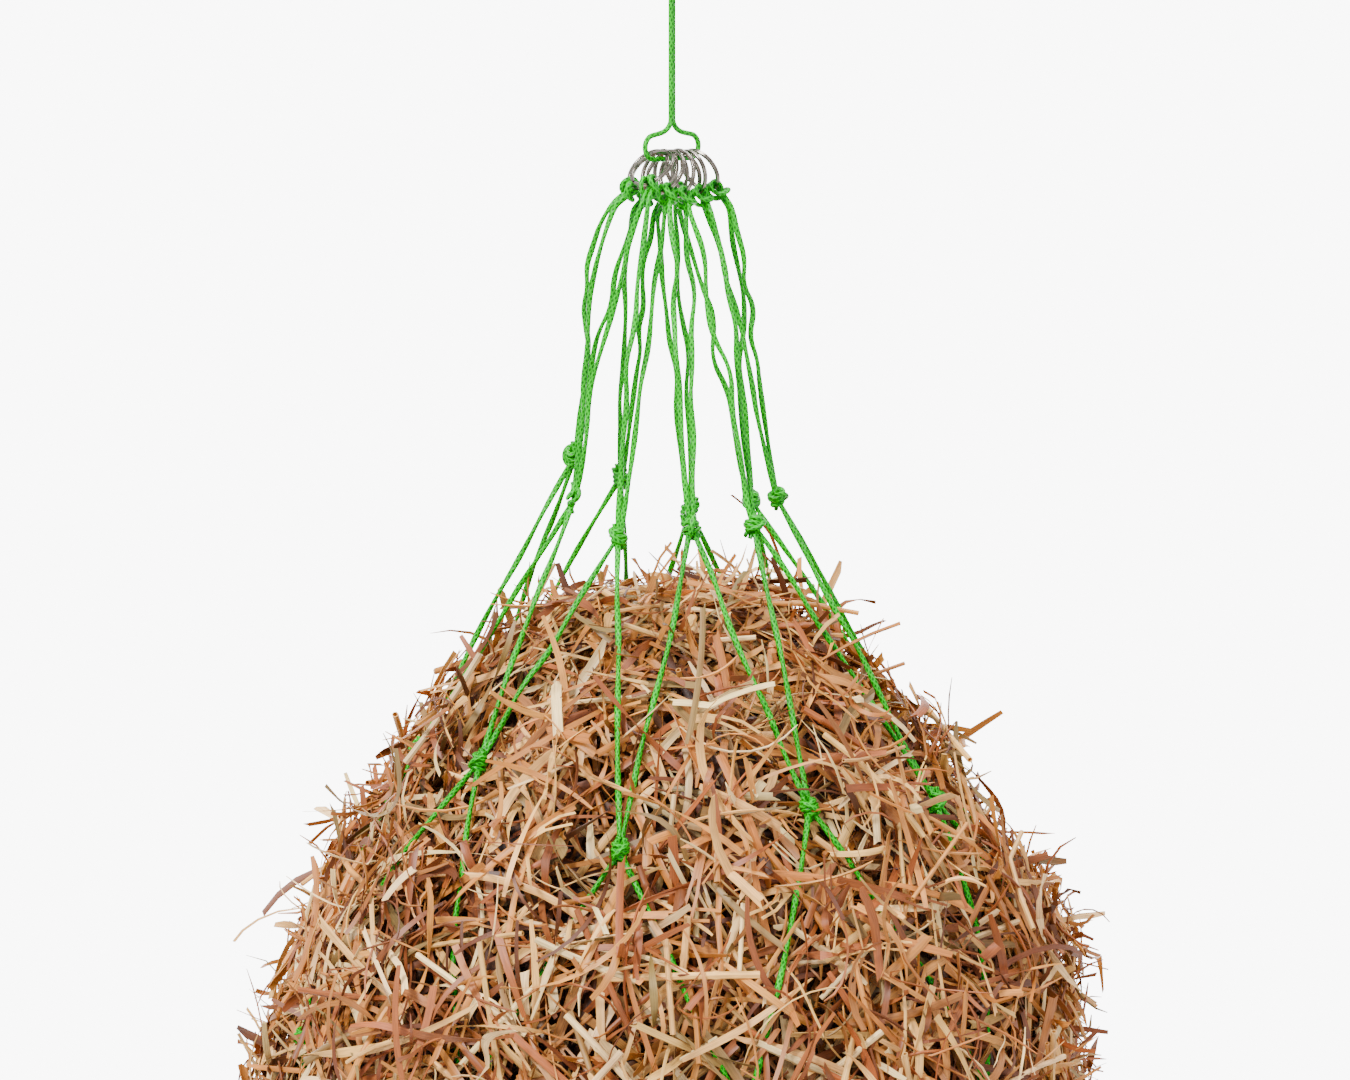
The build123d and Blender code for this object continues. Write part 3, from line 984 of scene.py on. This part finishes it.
SORTS = (
    # The bedded stems lie deepest and draw mostly on the darker tones, as painted shade under the loose pieces.
    StrawSort("bedded_stems", StrawForm.SPLIT_STEM, 3800, (30, 75), (0.5, 1.1), (10, 26), 12, 0.5, 0.6, 0.1, 0.2,
              (0, 1, 2, 4, 3, 5, 5, 5, 2)),
    StrawSort("split_stems", StrawForm.SPLIT_STEM, 3300, (30, 80), (0.35, 1.15), (-5, 11), 16, 0.5, 1.0, 0.25, 0.35,
              (5, 7, 6, 4, 3, 3, 2, 1, 1)),
    StrawSort("whole_stems", StrawForm.WHOLE_STEM, 1200, (30, 80), (0.5, 1.05), (-6, 12), 14, 0.2, 0.0, 0.1, 0.15,
              (5, 8, 6, 3, 2, 2, 1, 0, 1)),
    StrawSort("leaves", StrawForm.LEAF, 4800, (35, 105), (0.35, 1.1), (-8, 12), 16, 1.3, 3.6, 0.35, 0.9,
              (2, 3, 4, 6, 3, 6, 6, 3, 2)),
    StrawSort("forked_stems", StrawForm.FORKED, 900, (30, 65), (0.5, 1.1), (-6, 9), 16, 0.6, 0.9, 0.1, 0.3,
              (4, 6, 6, 4, 3, 3, 2, 1, 1)),
    StrawSort("fibres", StrawForm.FIBRE, 4200, (25, 90), (0.8, 1.8), (-8, 10), 18, 1.8, 0.0, 0.3, 0.9,
              (3, 5, 5, 5, 3, 5, 4, 2, 2)),
    StrawSort("chips", StrawForm.SPLIT_STEM, 2000, (8, 24), (0.4, 1.1), (-5, 10), 22, 0.4, 0.6, 0.0, 0.2,
              (6, 7, 6, 4, 3, 3, 2, 1, 1)),
    StrawSort("stray_leaves", StrawForm.LEAF, 460, (45, 100), (0.5, 1.0), (-12, 2), 32, 2.2, 4.0, 0.6, 0.4,
              (1, 3, 4, 5, 3, 4, 3, 2, 3)),
    StrawSort("stray_stems", StrawForm.SPLIT_STEM, 260, (45, 85), (0.5, 0.9), (-10, 2), 30, 0.5, 1.0, 0.4, 0.0,
              (4, 6, 5, 4, 3, 3, 2, 1, 2)),
)


@dataclass
class StrawPatterns:
    """One straight piece of each form, a metre long, lying along X with its true cross-section."""

    stem_w: float = 4.4 * MM
    stem_wall: float = 0.4 * MM
    leaf_w: float = 4.2 * MM
    tube_r: float = 1.75 * MM

    def ribbon(self, across: int, along: int, width: float) -> bpy.types.Object:
        """Starts a flat strip and leaves it in edit mode, all selected."""
        bpy.ops.object.select_all(action="DESELECT")
        bpy.ops.mesh.primitive_grid_add(x_subdivisions=along, y_subdivisions=across, size=1)
        strip = bpy.context.object
        bpy.ops.object.mode_set(mode="EDIT")
        bpy.ops.mesh.select_all(action="SELECT")
        bpy.ops.transform.resize(value=(1, width, 1), center_override=(0, 0, 0))
        return strip

    def thicken(self, strip: bpy.types.Object, wall: float) -> Shape:
        """Leaves edit mode and gives a strip its wall."""
        bpy.ops.object.mode_set(mode="OBJECT")
        select_only(strip)
        solid = strip.modifiers.new("wall", "SOLIDIFY")
        solid.thickness = wall
        solid.offset = 0
        bpy.ops.object.modifier_apply(modifier=solid.name)
        bpy.ops.object.mode_set(mode="EDIT")
        bpy.ops.mesh.select_all(action="SELECT")
        bpy.ops.mesh.normals_make_consistent(inside=False)
        bpy.ops.object.mode_set(mode="OBJECT")
        return take_shape(strip)

    def split_stem(self) -> Shape:
        """A stem split open: a shallow trough with slanting torn ends."""
        strip = self.ribbon(2, 5, self.stem_w)
        pick(strip, lambda co: abs(co.y) < 0.1 * MM)
        bpy.ops.transform.translate(value=(0, 0, 0.9 * MM))
        pick(strip, lambda co: co.x > 0.49 and co.y > 0.1 * MM)
        bpy.ops.transform.translate(value=(-0.09, 0, 0))
        pick(strip, lambda co: co.x < -0.49 and co.y < 0.1 * MM)
        bpy.ops.transform.translate(value=(0.06, 0, 0))
        return self.thicken(strip, self.stem_wall)

    def forked(self) -> Shape:
        """A stem that the chopper has split from one end into two prongs."""
        strip = self.ribbon(3, 5, self.stem_w)
        pick(strip, lambda co: co.x > 0.05 and abs(co.y) < self.stem_w * 0.2)
        bpy.ops.mesh.delete(type="ONLY_FACE")
        pick(strip, lambda co: co.x > 0.25 and co.y > 0)
        bpy.ops.transform.translate(value=(0, 1.1 * MM, 1.4 * MM))
        pick(strip, lambda co: co.x > 0.25 and co.y < 0)
        bpy.ops.transform.translate(value=(-0.08, -0.8 * MM, -0.6 * MM))
        return self.thicken(strip, self.stem_wall)

    def leaf(self) -> Shape:
        """A leaf blade: thin, and narrowing to both ends."""
        strip = self.ribbon(1, 9, self.leaf_w)
        for reach, share in ((0.5, 0.62), (0.389, 0.82), (0.278, 0.95)):
            for x in (-reach, reach):
                pick(strip, lambda co, x=x: abs(co.x - x) < 0.02)
                bpy.ops.transform.resize(value=(1, share, 1), center_override=(x, 0, 0))
        return self.thicken(strip, 0.22 * MM)

    def whole_stem(self) -> Shape:
        """A round stem, hollow at both ends, with a node part of the way along."""
        bpy.ops.object.select_all(action="DESELECT")
        bpy.ops.mesh.primitive_cylinder_add(vertices=7, radius=self.tube_r, depth=1, rotation=(0, math.pi / 2, 0))
        stem = bpy.context.object
        bpy.ops.object.transform_apply(location=True, rotation=True, scale=True)
        bpy.ops.object.mode_set(mode="EDIT")
        for x in (-0.2, 0.19, 0.22, 0.25):
            bpy.ops.mesh.select_all(action="SELECT")
            bpy.ops.mesh.bisect(plane_co=(x, 0, 0), plane_no=(1, 0, 0))
        pick(stem, lambda co: abs(co.x - 0.22) < 0.01)
        bpy.ops.transform.resize(value=(1, 1.28, 1.28), center_override=(0.22, 0, 0))
        for end in (-1, 1):
            pick(stem, lambda co, end=end: co.x * end > 0.49)
            bpy.ops.mesh.inset(thickness=0.45 * MM)
            bpy.ops.mesh.extrude_region_move(TRANSFORM_OT_translate={"value": (-0.05 * end, 0, 0)})
        bpy.ops.mesh.select_all(action="SELECT")
        bpy.ops.mesh.normals_make_consistent(inside=False)
        bpy.ops.object.mode_set(mode="OBJECT")
        return take_shape(stem)

    def fibre(self) -> Shape:
        """A thread torn from a stem, thinning to its ends."""
        bpy.ops.object.select_all(action="DESELECT")
        bpy.ops.mesh.primitive_cylinder_add(vertices=4, radius=0.42 * MM, depth=1, rotation=(0, math.pi / 2, 0))
        thread = bpy.context.object
        bpy.ops.object.transform_apply(location=True, rotation=True, scale=True)
        bpy.ops.object.mode_set(mode="EDIT")
        for x in (-0.36, -0.22, -0.08, 0.08, 0.22, 0.36):
            bpy.ops.mesh.select_all(action="SELECT")
            bpy.ops.mesh.bisect(plane_co=(x, 0, 0), plane_no=(1, 0, 0))
        pick(thread, lambda co: abs(co.x) > 0.49)
        bpy.ops.transform.resize(value=(1, 0.4, 0.4), center_override=(0, 0, 0))
        bpy.ops.object.mode_set(mode="OBJECT")
        return take_shape(thread)

    def make(self) -> dict[StrawForm, Shape]:
        """Models every form once."""
        return {form: getattr(self, form.value)() for form in StrawForm}


@dataclass
class StrawLoad:
    """The straw in the bag: a packed heart, dark with painted shade, under thousands of loose pieces that bulge out
    through the meshes.
    """

    finishes: Finishes
    seed: int = 7
    heart_depth: float = 15 * MM
    heart_rough: float = 1.6 * MM
    pole_r: float = 20 * MM  # inside this radius the heart is drawn in to its axis, so that its poles stay closed
    slope_step: float = 12 * MM  # the outline's slope is read between points this far before and after
    crown_slope: float = -0.25  # a flatter slope than this, in the upper half, is the crown
    bulge: float = 14 * MM  # how far the straw stands out in the middle of a mesh
    lump: float = 7 * MM  # height of the lumps, each way
    # Waves that add up to the lumps: how many about the bag, and radians per metre down it.
    lump_waves: tuple[tuple[int, int], ...] = ((3, 21), (5, 34), (8, 52))
    # By depth under the hook in metres: how far the straw swells over the twines, in millimetres, and the chance that
    # a piece lies over the twine that it crosses. Both are greatest about the shoulder, where the straw is loose.
    pressed: tuple[tuple[float, ...], ...] = ((0.43, 0.48, 0.53, 0.62, 0.7), (-4, 3, 14, 12, -2))
    cover: tuple[tuple[float, ...], ...] = ((0.41, 0.455, 0.49, 0.52, 0.62, 0.7), (0.1, 0.28, 0.7, 1.0, 1.0, 0.15))
    mesh_room: float = 38 * MM  # past this far from the twines the straw stands out in full
    look_round: float = 22 * MM  # a twine further off than this is left out of account
    twine_clear: float = 6 * MM  # a piece this close beside a twine is tucked under it
    twine_under: float = 4 * MM  # and its middle lies this far below the twine's
    most_tucked: float = 18 * MM  # no piece is pushed in further than this
    outline_steps: int = 400
    pieces_each: int = 1900  # most pieces in one mesh
    smooth_deg: float = 50.0
    reach: float = 221 * MM  # nothing sticks out past this radius

    def __post_init__(self) -> None:
        """Reads the load's outline from its CAD solid."""
        points = node_points("straw_fill")
        z = np.round(points[:, 2] / MM, 1)
        radius = np.hypot(points[:, 0], points[:, 1])
        levels = sorted(set(z), reverse=True)
        rim = [(radius[z == level].max(), level * MM) for level in levels]
        rim = [(0.0, levels[0] * MM), *rim, (0.0, levels[-1] * MM)]
        self.outline = np.array(rim)
        steps = np.linalg.norm(np.diff(self.outline, axis=0), axis=1)
        self.run = np.concatenate([[0], np.cumsum(steps)])
        self.random = np.random.default_rng(self.seed)
        self.waves = self.random.uniform(0, 2 * math.pi, (3, 2))

    def radius_at(self, z: float) -> float:
        """The load's CAD radius at a height."""
        return float(np.interp(-z, -self.outline[1:-1, 1], self.outline[1:-1, 0]))

    def surface(self, run: Array, azimuth: Array) -> tuple[Array, Array, Array, Array]:
        """Points on the load's CAD surface.

        Args:
            run: Distances down the outline from the middle of the top.
            azimuth: Azimuths in radians.

        Returns:
            Points, outward normals, downhill directions and level directions.
        """
        radius = np.interp(run, self.run, self.outline[:, 0])
        height = np.interp(run, self.run, self.outline[:, 1])
        ahead, behind = [np.stack([np.interp(run + step, self.run, self.outline[:, c]) for c in (0, 1)], axis=1)
                         for step in (self.slope_step, -self.slope_step)]
        slope = ahead - behind
        slope /= np.linalg.norm(slope, axis=1)[:, None]
        out = np.stack([np.cos(azimuth), np.sin(azimuth), np.zeros_like(azimuth)], axis=1)
        level = np.stack([-np.sin(azimuth), np.cos(azimuth), np.zeros_like(azimuth)], axis=1)
        points = out * radius[:, None] + np.array(UP) * height[:, None]
        down = out * slope[:, :1] + np.array(UP) * slope[:, 1:]
        normal = np.cross(level, down)
        # The cross product may point inwards. About the middle of the top only its height says which way is out.
        normal *= np.sign((normal * (out + np.array([0, 0, 1e-3]))).sum(1) + 1e-9)[:, None]
        crown = (slope[:, 1] > self.crown_slope) & (run < self.run[-1] / 2)
        normal[crown, 2] = np.abs(normal[crown, 2])
        return points, normal, down, level

    def lumps(self, run: Array, azimuth: Array) -> Array:
        """Height of the load's uneven surface over its plain outline."""
        total = np.zeros_like(run)
        for (phase_a, phase_b), (about, rise) in zip(self.waves, self.lump_waves):
            total += np.sin(azimuth * about + phase_a + 2 * np.sin(run * rise * 0.4)) * np.sin(run * rise + phase_b)
        return total / 3 * self.lump * 2

    def cord_tree(self, lines: list[Array]) -> tuple[KDTree, Array]:
        """A search tree over points along the net's twines."""
        points = np.concatenate(lines)
        tree = KDTree(len(points))
        for index, point in enumerate(points):
            tree.insert(point, index)
        tree.balance()
        return tree, points

    def build_heart(self) -> None:
        """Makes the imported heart: a globe pulled to the load's outline, sunk and roughened."""
        bpy.ops.object.select_all(action="DESELECT")
        bpy.ops.mesh.primitive_uv_sphere_add(segments=128, ring_count=96, radius=1)
        heart = bpy.context.object
        for vertex in heart.data.vertices:
            azimuth = math.atan2(vertex.co.y, vertex.co.x)
            run = math.acos(max(-1, min(1, vertex.co.z))) / math.pi * self.run[-1]
            point, normal, _, _ = self.surface(np.array([run]), np.array([azimuth]))
            rough = self.random.normal(0, self.heart_rough)
            sink = self.heart_depth + rough - self.lumps(np.array([run]), np.array([azimuth]))[0]
            place = point[0] - normal[0] * sink
            flat = min(1.0, math.hypot(*point[0][:2]) / self.pole_r)
            vertex.co = (place[0] * flat, place[1] * flat, place[2])
        select_only(heart)
        bpy.ops.object.shade_smooth()
        heart.name = "packed_heart"
        # The heart's dark colour is painted shade for the depths of the load.
        dress(heart, self.finishes.painted_shade_straw, "net_bag", "straw", "straw_fill")

    def bend(self, verts: Array, turn: Array, across: int, length: Array) -> Array:
        """Bends straight copies into arcs.

        Args:
            verts: Copies by vertices by 3, lying along X.
            turn: Each copy's turn from end to end, in radians.
            across: 1 bends sideways, 2 bends up or down.
            length: Each copy's length.

        Returns:
            The bent vertices.
        """
        bent = verts.copy()
        rate = (turn / length)[:, None]
        rate = np.where(np.abs(rate) < 1e-3, 1e-3, rate)
        angle = rate * verts[:, :, 0]
        radius = 1 / rate - verts[:, :, across]
        bent[:, :, 0] = radius * np.sin(angle)
        bent[:, :, across] = 1 / rate - radius * np.cos(angle)
        return bent

    def scatter(
        self, sort: StrawSort, shape: Shape, tree: KDTree, cords: Array, count: int
    ) -> tuple[Array, Array, Array]:
        """Lays out one lot of straw.

        Args:
            sort: What the pieces are.
            shape: Their pattern.
            tree: The net's twines as a search tree.
            cords: The points in the tree.
            count: How many pieces to lay.

        Returns:
            The copies' vertices, UVs and tints, the tints darkened with depth as painted shade.
        """
        rng = self.random
        stations = np.linspace(0, self.run[-1], self.outline_steps)
        share = np.interp(stations, self.run, self.outline[:, 0]) + 4 * MM
        share = np.cumsum(share) / share.sum()
        run = np.interp(rng.uniform(0, 1, count), share, stations)
        azimuth = rng.uniform(-math.pi, math.pi, count)
        point, normal, down, level = self.surface(run, azimuth)
        heading = rng.uniform(0, 2 * math.pi, count)
        ahead = down * np.cos(heading)[:, None] + level * np.sin(heading)[:, None]
        tilt = rng.normal(0, math.radians(sort.tilt_deg), count)
        ahead = ahead * np.cos(tilt)[:, None] + normal * np.sin(tilt)[:, None]
        side = np.cross(normal, ahead)
        side /= np.linalg.norm(side, axis=1)[:, None]
        lift = np.cross(ahead, side)
        length = rng.uniform(*sort.length_mm, count) * MM
        width = rng.uniform(*sort.width, count)

        near = np.array([tree.find(p)[2] for p in point])
        room = np.clip(near / self.mesh_room, 0, 1)
        room = room * room * (3 - 2 * room)
        pressed = np.interp(-point[:, 2], *self.pressed) * MM
        height = pressed + (self.bulge - pressed) * room + self.lumps(run, azimuth)
        height -= 8 * MM * np.interp(-point[:, 2], [0.38, 0.42], [1, 0])
        depth = rng.uniform(*sort.depth_mm, count) * MM
        height -= depth
        height -= np.abs(np.sin(tilt)) * length * 0.22
        centre = point + normal * height[:, None]

        cover = rng.uniform(0, 1, count) < np.interp(-point[:, 2], *self.cover)
        sink = np.zeros(count)
        for t in (-0.4, -0.2, 0.0, 0.2, 0.4):
            sample = centre + ahead * (length * t)[:, None]
            for i in np.nonzero(~cover)[0]:
                _, index, gap = tree.find(sample[i])
                if gap > self.look_round:
                    continue
                off = sample[i] - cords[index]
                above = float(off.dot(normal[i]))
                beside = math.sqrt(max(gap * gap - above * above, 0))
                if beside < self.twine_clear and above > -self.twine_under:
                    sink[i] = max(sink[i], above + self.twine_under)
        centre -= normal * np.minimum(sink, self.most_tucked)[:, None]

        verts = np.repeat(shape.verts[None], count, axis=0)
        verts[:, :, 0] *= length[:, None]
        verts[:, :, 1:] *= width[:, None, None]
        fold_at = (rng.uniform(-0.2, 0.3, count) * length)[:, None]
        fold = np.where(rng.uniform(0, 1, count) < sort.kinked, rng.normal(0, 0.8, count), 0)[:, None]
        past = verts[:, :, 0] - fold_at
        turned = (fold_at + past * np.cos(fold) - verts[:, :, 2] * np.sin(fold),
                  past * np.sin(fold) + verts[:, :, 2] * np.cos(fold))
        verts[:, :, 0] = np.where(past > 0, turned[0], verts[:, :, 0])
        verts[:, :, 2] = np.where(past > 0, turned[1], verts[:, :, 2])
        lean = rng.uniform(-0.6, 0.6, count)[:, None]
        roll = lean + (rng.normal(0, sort.twist, count) / length)[:, None] * verts[:, :, 0]
        flip = rng.choice((0, math.pi), count, p=(0.7, 0.3))[:, None]
        y, z = verts[:, :, 1].copy(), verts[:, :, 2].copy()
        verts[:, :, 1] = y * np.cos(roll + flip) - z * np.sin(roll + flip)
        verts[:, :, 2] = y * np.sin(roll + flip) + z * np.cos(roll + flip)
        verts = self.bend(verts, rng.normal(0, sort.curl * 0.6, count), 1, length)
        verts = self.bend(verts, rng.normal(-sort.droop, sort.curl, count), 2, length)
        axes = np.stack([ahead, side, lift], axis=1)
        verts = np.einsum("nvi,nij->nvj", verts, axes) + centre[:, None]

        far = np.hypot(verts[:, :, 0], verts[:, :, 1]).max(axis=1)
        verts -= normal[:, None] * np.maximum(far - self.reach, 0)[:, None, None]

        uv = np.repeat(shape.uv[None], count, axis=0) / MM
        uv[:, :, 0] = uv[:, :, 0] * length[:, None] + rng.uniform(0, 400, count)[:, None]
        uv[:, :, 1] += rng.uniform(0, 400, count)[:, None]
        palette = np.array([linear(tone)[:3] for tone in STRAW_TONES])
        chance = np.array(sort.tones, dtype=float)
        tints = palette[rng.choice(len(palette), count, p=chance / chance.sum())]
        # Painted shade: the deeper a piece lies, the darker its tint, so that the gaps between the pieces above it look
        # dark.
        shade = np.interp(depth, [0, 8 * MM, 20 * MM], [1.0, 0.6, 0.22])
        tints = tints * (shade * rng.uniform(0.75, 1.12, count))[:, None] * rng.uniform(0.95, 1.05, (count, 3))
        return verts, uv, tints

    def build_loose(self, lines: list[Array]) -> None:
        """Makes the loose pieces, a lot at a time, clear of the twines that show."""
        tree, cords = self.cord_tree(lines)
        patterns = StrawPatterns().make()
        thin = 1
        for sort in SORTS:
            shape = patterns[sort.form]
            left, lot = sort.count // thin, 0
            while left > 0:
                count = min(left, self.pieces_each)
                lot += 1
                verts, uv, tints = self.scatter(sort, shape, tree, cords, count)
                batch = Batch()
                batch.add_copies(verts, shape, uv, tints)
                piece = batch.build(f"{sort.name}_{lot}", self.smooth_deg)
                dress(piece, self.finishes.straw, "net_bag", "straw")
                left -= count


# --- Studio -------------------------------------------------------------------------------------------------------


@dataclass
class Studio:
    """White surroundings, soft lights and the camera, a little above the level of the bag's shoulder."""

    finishes: Finishes
    target: Vector = field(default_factory=lambda: Vector((0.0015, 0, -0.340)))
    view_width: float = 0.675
    distance: float = 1.7
    elevation_deg: float = 9.0
    screen_way: tuple[float, float, float] = (0, 0.99, -0.15)  # a white screen glows behind the bag
    screen_edge: tuple[float, float] = (17.0, 32.0)  # degrees off that way where it starts and ends fading
    screen_glow: float = 9.0
    sensor_mm: float = 36.0
    floor_z: float = -1.08
    floor_r: float = 1.0

    def place_camera(self) -> None:
        """Sets up the camera, so that the view's width at the bag's axis is as stated."""
        data = bpy.data.cameras.new("camera")
        data.sensor_width = self.sensor_mm
        data.lens = self.sensor_mm * self.distance / self.view_width
        camera = bpy.data.objects.new("camera", data)
        bpy.context.collection.objects.link(camera)
        rise = math.radians(self.elevation_deg)
        camera.location = self.target + Vector((0, -math.cos(rise), math.sin(rise))) * self.distance
        camera.rotation_euler = (self.target - camera.location).to_track_quat("-Z", "Y").to_euler()
        bpy.context.scene.camera = camera

    def add_light(self, name: str, place: tuple[float, float, float], size: float, power: float) -> None:
        """Adds a square soft light that faces the bag."""
        data = bpy.data.lights.new(name, "AREA")
        data.size = size
        data.energy = power
        lamp = bpy.data.objects.new(name, data)
        bpy.context.collection.objects.link(lamp)
        lamp.location = place
        lamp.rotation_euler = (self.target - lamp.location).to_track_quat("-Z", "Y").to_euler()

    def build(self) -> None:
        """Makes the floor, the surroundings and the lights."""
        bpy.ops.object.select_all(action="DESELECT")
        bpy.ops.mesh.primitive_circle_add(
            vertices=96, radius=self.floor_r, fill_type="NGON", location=(0, 0, self.floor_z))
        floor = bpy.context.object
        bpy.ops.object.transform_apply(location=True, rotation=True, scale=True)
        floor.name = "studio_floor"
        floor.data.materials.append(self.finishes.paper)
        world = bpy.data.worlds.new("studio")
        world.use_nodes = True
        sky = world.node_tree.nodes["Background"]
        place = add_node(world, "TexCoord")
        facing = add_node(world, "VectorMath", {"operation": "DOT_PRODUCT", 1: self.screen_way},
                          {0: place.outputs["Generated"]})
        full, faded = [math.cos(math.radians(edge)) for edge in self.screen_edge]
        glow = add_node(world, "MapRange", {"interpolation_type": "SMOOTHSTEP", "From Min": faded, "From Max": full,
                                            "To Min": 1.0, "To Max": self.screen_glow}, {0: facing.outputs["Value"]})
        set_up(world, sky, {"Color": (1, 1, 1, 1)}, {"Strength": glow})
        bpy.context.scene.world = world
        self.add_light("key", (-1.2, -1.5, 1.3), 0.6, 120)
        self.add_light("fill", (1.6, -1.4, 0.1), 1.2, 16)
        self.add_light("top", (0.2, 0.2, 1.7), 0.9, 50)


def main() -> None:
    """Builds the feeder, rings first and straw last, and reports each piece."""
    logging.basicConfig(level=logging.INFO, format="%(message)s", force=True)
    finishes = Finishes()
    studio = Studio(finishes)
    studio.place_camera()
    drawcord = Drawcord(finishes)
    drawcord.build_cord()
    drawcord.build_loop()
    seats = [RingSeat.read(number) for number in range(1, MESHES + 1)]
    SplitRings(finishes, seats).build()
    rows = [knot_row(number) for number in range(1, KNOT_ROWS + 1)]
    MouthGather(finishes, seats, rows[0]).build()
    load = StrawLoad(finishes)
    net = NetBody(finishes, rows)
    net.build_knots()
    net.build_bars(load)
    bottom = BottomGather(finishes, rows[-1], middle_of("bottom_ring"))
    bottom.build_ring()
    bottom.build_twines()
    load.build_heart()
    load.build_loose(net.lines + bottom.lines)
    studio.build()


if __name__ == "__main__":
    main()
